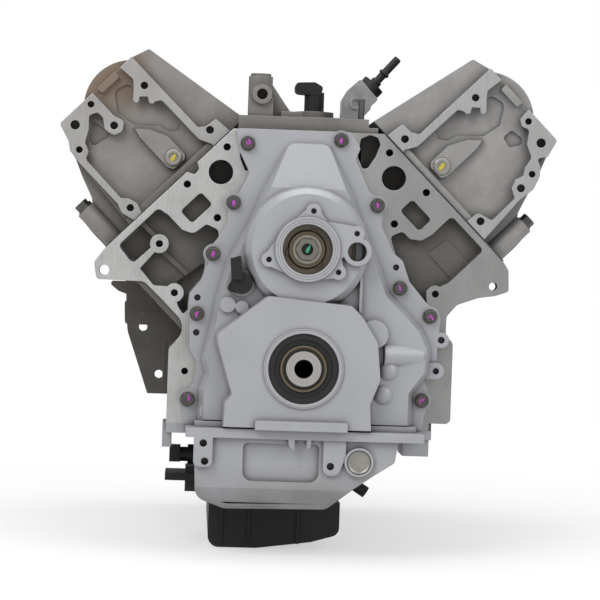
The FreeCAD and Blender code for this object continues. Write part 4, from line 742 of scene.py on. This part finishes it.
@dataclass
class ValveSprings:
    """Coil springs in place of the plain sleeves."""

    paints: Paintbox
    wire: float = 0.0019
    turns: float = 6.0
    steps: int = 14
    sides: int = 7
    closing: float = 0.06
    outer_radius: float = 0.0126
    lift: float = 0.013
    tilt: float = 12.0
    seat_across: float = -0.002
    guide_across: float = 0.074
    guide_clear: float = 0.0032
    retainer: float = 0.1036
    first_bore: float = 0.0658
    bore_spacing: float = 0.11176
    valve_offsets: tuple[float, float] = (-0.0205, 0.027)

    def build(self, bank: Bank) -> bpy.types.Object:
        """Makes one bank's row of springs.

        Args:
            bank: The bank that it stands on.

        Returns:
            The row.
        """
        low, high = self.sleeve(bank)
        length = (high - low).length
        up = (high - low).normalized()
        across = Vector((0.0, 1.0, 0.0))
        third = up.cross(across)
        mesh = bmesh.new()
        for along in self.places(bank):
            foot = Vector((low.x, along, low.z))
            coil = []
            count = int(self.turns * self.steps)
            for step in range(count + 1):
                share = step / count
                eased = share + self.closing * math.sin(2 * math.pi * share)
                climb = self.wire + (length - 2 * self.wire) * eased
                angle = 2 * math.pi * self.turns * share
                around = across * math.cos(angle) + third * math.sin(angle)
                coil.append(foot + up * climb + around * self.radius)
            sweep(mesh, coil, self.wire, self.sides)
        row = new_object(f"coil_springs_{bank.value}", mesh, self.paints.take(Finish.SPRING))
        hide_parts(f"valve_springs_{bank.value}")
        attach(row, "block")
        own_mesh(row)
        return row

    @property
    def radius(self) -> float:
        """Radius of the coil's middle line."""
        return self.outer_radius - self.wire

    def sleeve(self, bank: Bank) -> tuple[Vector, Vector]:
        """Foot and head of a spring's axis, in the plane of the first spring."""
        tilt = math.radians(self.tilt)
        seat = Vector((self.seat_across, 0.0, DECK_HEIGHT + GASKET_THICKNESS + SEAT_RISE))
        lean = Vector((-math.sin(tilt), 0.0, math.cos(tilt)))
        foot = (self.guide_across - GASKET_THICKNESS - SEAT_RISE) / math.cos(tilt) + self.guide_clear
        ends = [seat + lean * foot, seat + lean * self.retainer]
        return tuple(bank.place(end.x, 0.0, end.z) for end in ends)

    def places(self, bank: Bank) -> list[float]:
        """Places of the eight springs along the engine."""
        bores = [self.first_bore + self.bore_spacing * index for index in range(BORES_PER_BANK)]
        return [bore + offset + bank.stagger for bore in bores for offset in self.valve_offsets]


@dataclass
class Rods:
    """Connecting rods, each a copy of its solid in place."""

    big_end: float = 0.075
    small_end: float = 0.038

    def build(self, bank: Bank, number: int, finish: bpy.types.Material) -> bpy.types.Object:
        """Makes one rod as a copy of its solid, between the crank and its piston.

        Args:
            bank: The bank that it belongs to.
            number: Its place from the front, from 1.
            finish: Its material.

        Returns:
            The rod.
        """
        node = f"connecting_rod_{bank.value}_{number}"
        solid = frame["nodes"][node]
        data = solid.data.copy()
        data.transform(solid.matrix_world)
        data.materials.clear()
        data.materials.append(finish)
        rod = bpy.data.objects.new(f"jointed_rod_{bank.value}_{number}", data)
        bpy.context.scene.collection.objects.link(rod)
        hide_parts(node)
        up = bank.direction(0.0, 1.0)
        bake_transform(rod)
        return rod


@dataclass
class PaintDabs:
    """Dabs of inspection paint on bolts and plugs."""

    paints: Paintbox
    cover_bolts: tuple[tuple[float, float], ...] = (
        (-0.065, 0.235), (0.034, 0.242), (-0.078, 0.172), (0.075, 0.174), (-0.098, 0.117),
        (0.102, 0.087), (-0.113, 0.053), (0.135, 0.058), (-0.12, -0.038), (0.129, -0.032))
    strokes: tuple[tuple[float, float], ...] = ((0.0036, 0.0013), (0.0026, 0.0009), (0.0012, 0.0008))
    stroke_thickness: float = 0.0003
    plug_place: tuple[float, float, float] = (-0.053, HEAD_FRONT + 0.003 - 0.0012, DECK_HEIGHT + 0.0215)
    plug_dab: tuple[float, float, float] = (0.0062, 0.0026, 0.0004)
    plug_turn: float = 1.05
    cam_dab: tuple[float, float, float] = (0.0047, 0.0019, 0.0006)
    cam_turn: float = 1.15

    def dab(self, mesh: bmesh.types.BMesh, middle: Vector, size: Sequence[float], turn: float) -> None:
        """Adds a lens of paint that faces forwards.

        Args:
            mesh: Mesh that grows.
            middle: Middle of the dab's back.
            size: Half width, half height and thickness.
            turn: Angle of the dab in its plane.
        """
        rim, rounds = 14, 3
        apex = mesh.verts.new(middle + Vector((0.0, -size[2], 0.0)))
        last: list[bmesh.types.BMVert] = []
        for layer in range(1, rounds + 1):
            share = layer / rounds
            ring = []
            for corner in range(rim):
                angle = 2 * math.pi * corner / rim
                wobble = 1.0 + 0.12 * math.sin(3 * angle + turn * 7) + 0.07 * math.sin(5 * angle + turn)
                flat = Vector((size[0] * math.cos(angle), size[1] * math.sin(angle))) * share * wobble
                flat.rotate(Matrix.Rotation(turn, 2))
                ring.append(mesh.verts.new(middle + Vector((flat.x, -size[2] * (1 - share ** 2), flat.y))))
            for corner in range(rim):
                following = (corner + 1) % rim
                if last:
                    face = mesh.faces.new((last[corner], last[following], ring[following], ring[corner]))
                else:
                    face = mesh.faces.new((apex, ring[following], ring[corner]))
                face.smooth = True
            last = ring
        mesh.faces.new(last)

    def smears(self, mesh: bmesh.types.BMesh, middle: Vector, chance: random.Random) -> None:
        """Adds a few uneven strokes of a marker pen to a mesh.

        Args:
            mesh: Mesh that grows.
            middle: Middle of the bolt's face.
            chance: Source of the unevenness.
        """
        for length, width in self.strokes:
            shift = Vector((chance.uniform(-0.0018, 0.0018), 0.0, chance.uniform(-0.0016, 0.0016)))
            self.dab(mesh, middle + shift, (length, width, self.stroke_thickness), chance.uniform(1.1, 2.0))

    def build(self) -> list[bpy.types.Object]:
        """Makes the dabs.

        Returns:
            The magenta, yellow and green dabs.
        """
        made = []
        chance = random.Random(23)
        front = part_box("front_cover_bolts")[0].y
        mesh = bmesh.new()
        for x, z in self.cover_bolts:
            self.smears(mesh, Vector((x, front + 0.00005, z)), chance)
        made.append(new_object("bolt_paint_dabs", mesh, self.paints.take(Finish.MAGENTA)))
        for bank in Bank:
            mesh = bmesh.new()
            self.dab(mesh, bank.place(*self.plug_place), self.plug_dab, self.plug_turn)
            made.append(new_object(f"plug_paint_dab_{bank.value}", mesh, self.paints.take(Finish.YELLOW)))
        for dab in made:
            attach(dab, "block")
        mesh = bmesh.new()
        place = Vector((0.0008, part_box("cam_phaser")[0].y + 0.0002, CAM_HEIGHT))
        self.dab(mesh, place, self.cam_dab, self.cam_turn)
        made.append(new_object("cam_bolt_paint_dab", mesh, self.paints.take(Finish.GREEN)))
        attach(made[-1], "cam")
        return made


@dataclass
class Studio:
    """Pale floor, soft lamps and an even sky."""

    sky: float = 0.45
    floor_colour: Colour = (0.9, 0.9, 0.9)
    fade: tuple[float, float, float, float] = (0.3, 0.95, 0.55, 1.0)
    span: float = 40.0
    lamps: tuple[tuple[tuple[float, float, float], float, float], ...] = (
        ((-1.4, -1.9, 2.0), 1.5, 48.0),
        ((1.7, -1.8, 1.5), 1.6, 23.0),
        ((0.0, 0.3, 2.2), 2.0, 32.0),
    )

    def build(self) -> None:
        """Sets up the world, the floor and the lamps."""
        scene = bpy.context.scene
        scene.view_settings.view_transform = "Standard"
        self.world(scene)
        self.floor()
        for index, (place, size, power) in enumerate(self.lamps):
            data = bpy.data.lights.new(f"soft_lamp_{index}", "AREA")
            data.energy = power
            data.size = size
            lamp = bpy.data.objects.new(data.name, data)
            lamp.location = place
            lamp.rotation_euler = (Vector((0, 0.15, 0.1)) - Vector(place)).to_track_quat("-Z", "Y").to_euler()
            scene.collection.objects.link(lamp)

    def shown(self, tree: bpy.types.NodeTree) -> bpy.types.NodeSocket:
        """Mask of the rays that show the backdrop: the camera's, reflected and refracted ones.

        Args:
            tree: Node tree that gets the mask.

        Returns:
            Socket that is 1 for those rays.
        """
        path = tree.nodes.new("ShaderNodeLightPath")
        mask = path.outputs["Is Camera Ray"]
        for kind in ("Is Glossy Ray", "Is Transmission Ray"):
            node = tree.nodes.new("ShaderNodeMath")
            node.operation = "MAXIMUM"
            tree.links.new(mask, node.inputs[0])
            tree.links.new(path.outputs[kind], node.inputs[1])
            mask = node.outputs[0]
        return mask

    def world(self, scene: bpy.types.Scene) -> None:
        """Makes a sky that is white where it is seen and softer to the engine.

        Args:
            scene: The scene that gets it.
        """
        world = bpy.data.worlds.new("studio_sky")
        scene.world = world
        world.use_nodes = True
        tree = world.node_tree
        background = tree.nodes["Background"]
        strength = tree.nodes.new("ShaderNodeMix")
        strength.data_type = "FLOAT"
        strength.inputs[2].default_value = self.sky
        strength.inputs[3].default_value = 1.0
        tree.links.new(self.shown(tree), strength.inputs[0])
        tree.links.new(strength.outputs[0], background.inputs["Strength"])
        background.inputs["Color"].default_value = (1.0, 1.0, 1.0, 1.0)

    def floor(self) -> None:
        """Lays the floor under the sump: it shows the shadow near the engine and fades to white."""
        level = CAD_BOX[0].z - 0.0005
        middle = (CAD_BOX[0] + CAD_BOX[1]) / 2
        mesh = bmesh.new()
        corners = [Vector((x * self.span, y * self.span, level))
                   for x, y in ((-1, -1), (1, -1), (1, 1), (-1, 1))]
        mesh.faces.new([mesh.verts.new(corner) for corner in corners])
        shader = Shader("pale_floor")
        tree = shader.tree
        material = shader.finish(self.floor_colour, 0.85, None)
        away = shader.add("ShaderNodeVectorMath", operation="DISTANCE")
        shader.feed(away.inputs[0], shader.coordinates)
        away.inputs[1].default_value = (middle.x, middle.y, level)
        fade = shader.add("ShaderNodeMapRange", interpolation_type="SMOOTHSTEP")
        shader.feed(fade.inputs["Value"], away.outputs["Value"])
        for socket, value in zip(("From Min", "From Max", "To Min", "To Max"), self.fade):
            fade.inputs[socket].default_value = value
        share = shader.math("MULTIPLY", fade.outputs[0], self.shown(tree))
        glow = shader.add("ShaderNodeEmission")
        both = shader.add("ShaderNodeMixShader")
        shader.feed(both.inputs[0], share)
        tree.links.new(shader.surface.outputs[0], both.inputs[1])
        tree.links.new(glow.outputs[0], both.inputs[2])
        tree.links.new(both.outputs[0], tree.nodes["Material Output"].inputs["Surface"])
        new_object("studio_floor", mesh, material)


@dataclass
class PhotoCamera:
    """Camera where the photographer's stood, fitted to the crank and cam centres and the decks."""

    place: tuple[float, float, float] = (-0.1197, -2.4, 0.119)
    yaw: float = -2.77
    pitch: float = -1.15
    roll: float = -1.96
    focal_pixels: float = 2250.9
    frame_pixels: float = 600.0

    def build(self) -> bpy.types.Object:
        """Makes the camera and hands it to the scene.

        Returns:
            The camera.
        """
        data = bpy.data.cameras.new("photo_camera")
        data.sensor_width = 36.0
        data.lens = self.focal_pixels * data.sensor_width / self.frame_pixels
        data.clip_start = 0.05
        data.clip_end = 200.0
        camera = bpy.data.objects.new("photo_camera", data)
        turn = Matrix.Rotation(math.radians(self.yaw), 4, "Z")
        turn = turn @ Matrix.Rotation(math.radians(self.pitch), 4, "X")
        turn = turn @ Matrix.Rotation(math.radians(self.roll), 4, "Y")
        turn = turn @ Matrix.Rotation(math.radians(90), 4, "X")
        camera.matrix_world = Matrix.Translation(self.place) @ turn
        bpy.context.scene.collection.objects.link(camera)
        bpy.context.scene.camera = camera
        return camera


def main() -> None:
    """Builds the sub-assemblies in order and reports each."""
    logging.basicConfig(level=logging.INFO, format="%(name)s: %(message)s")
    paints = Paintbox()
    PhotoCamera().build()
    Studio().build()
    Castings(paints).dress()
    springs = ValveSprings(paints)
    for bank in Bank:
        LOG.info("made %s", springs.build(bank).name)
    for bank in Bank:
        for number in range(1, BORES_PER_BANK + 1):
            LOG.info("made %s", Rods().build(bank, number, paints.take(Finish.FORGED)).name)
    for dab in PaintDabs(paints).build():
        LOG.info("made %s", dab.name)


if __name__ == "__main__":
    main()
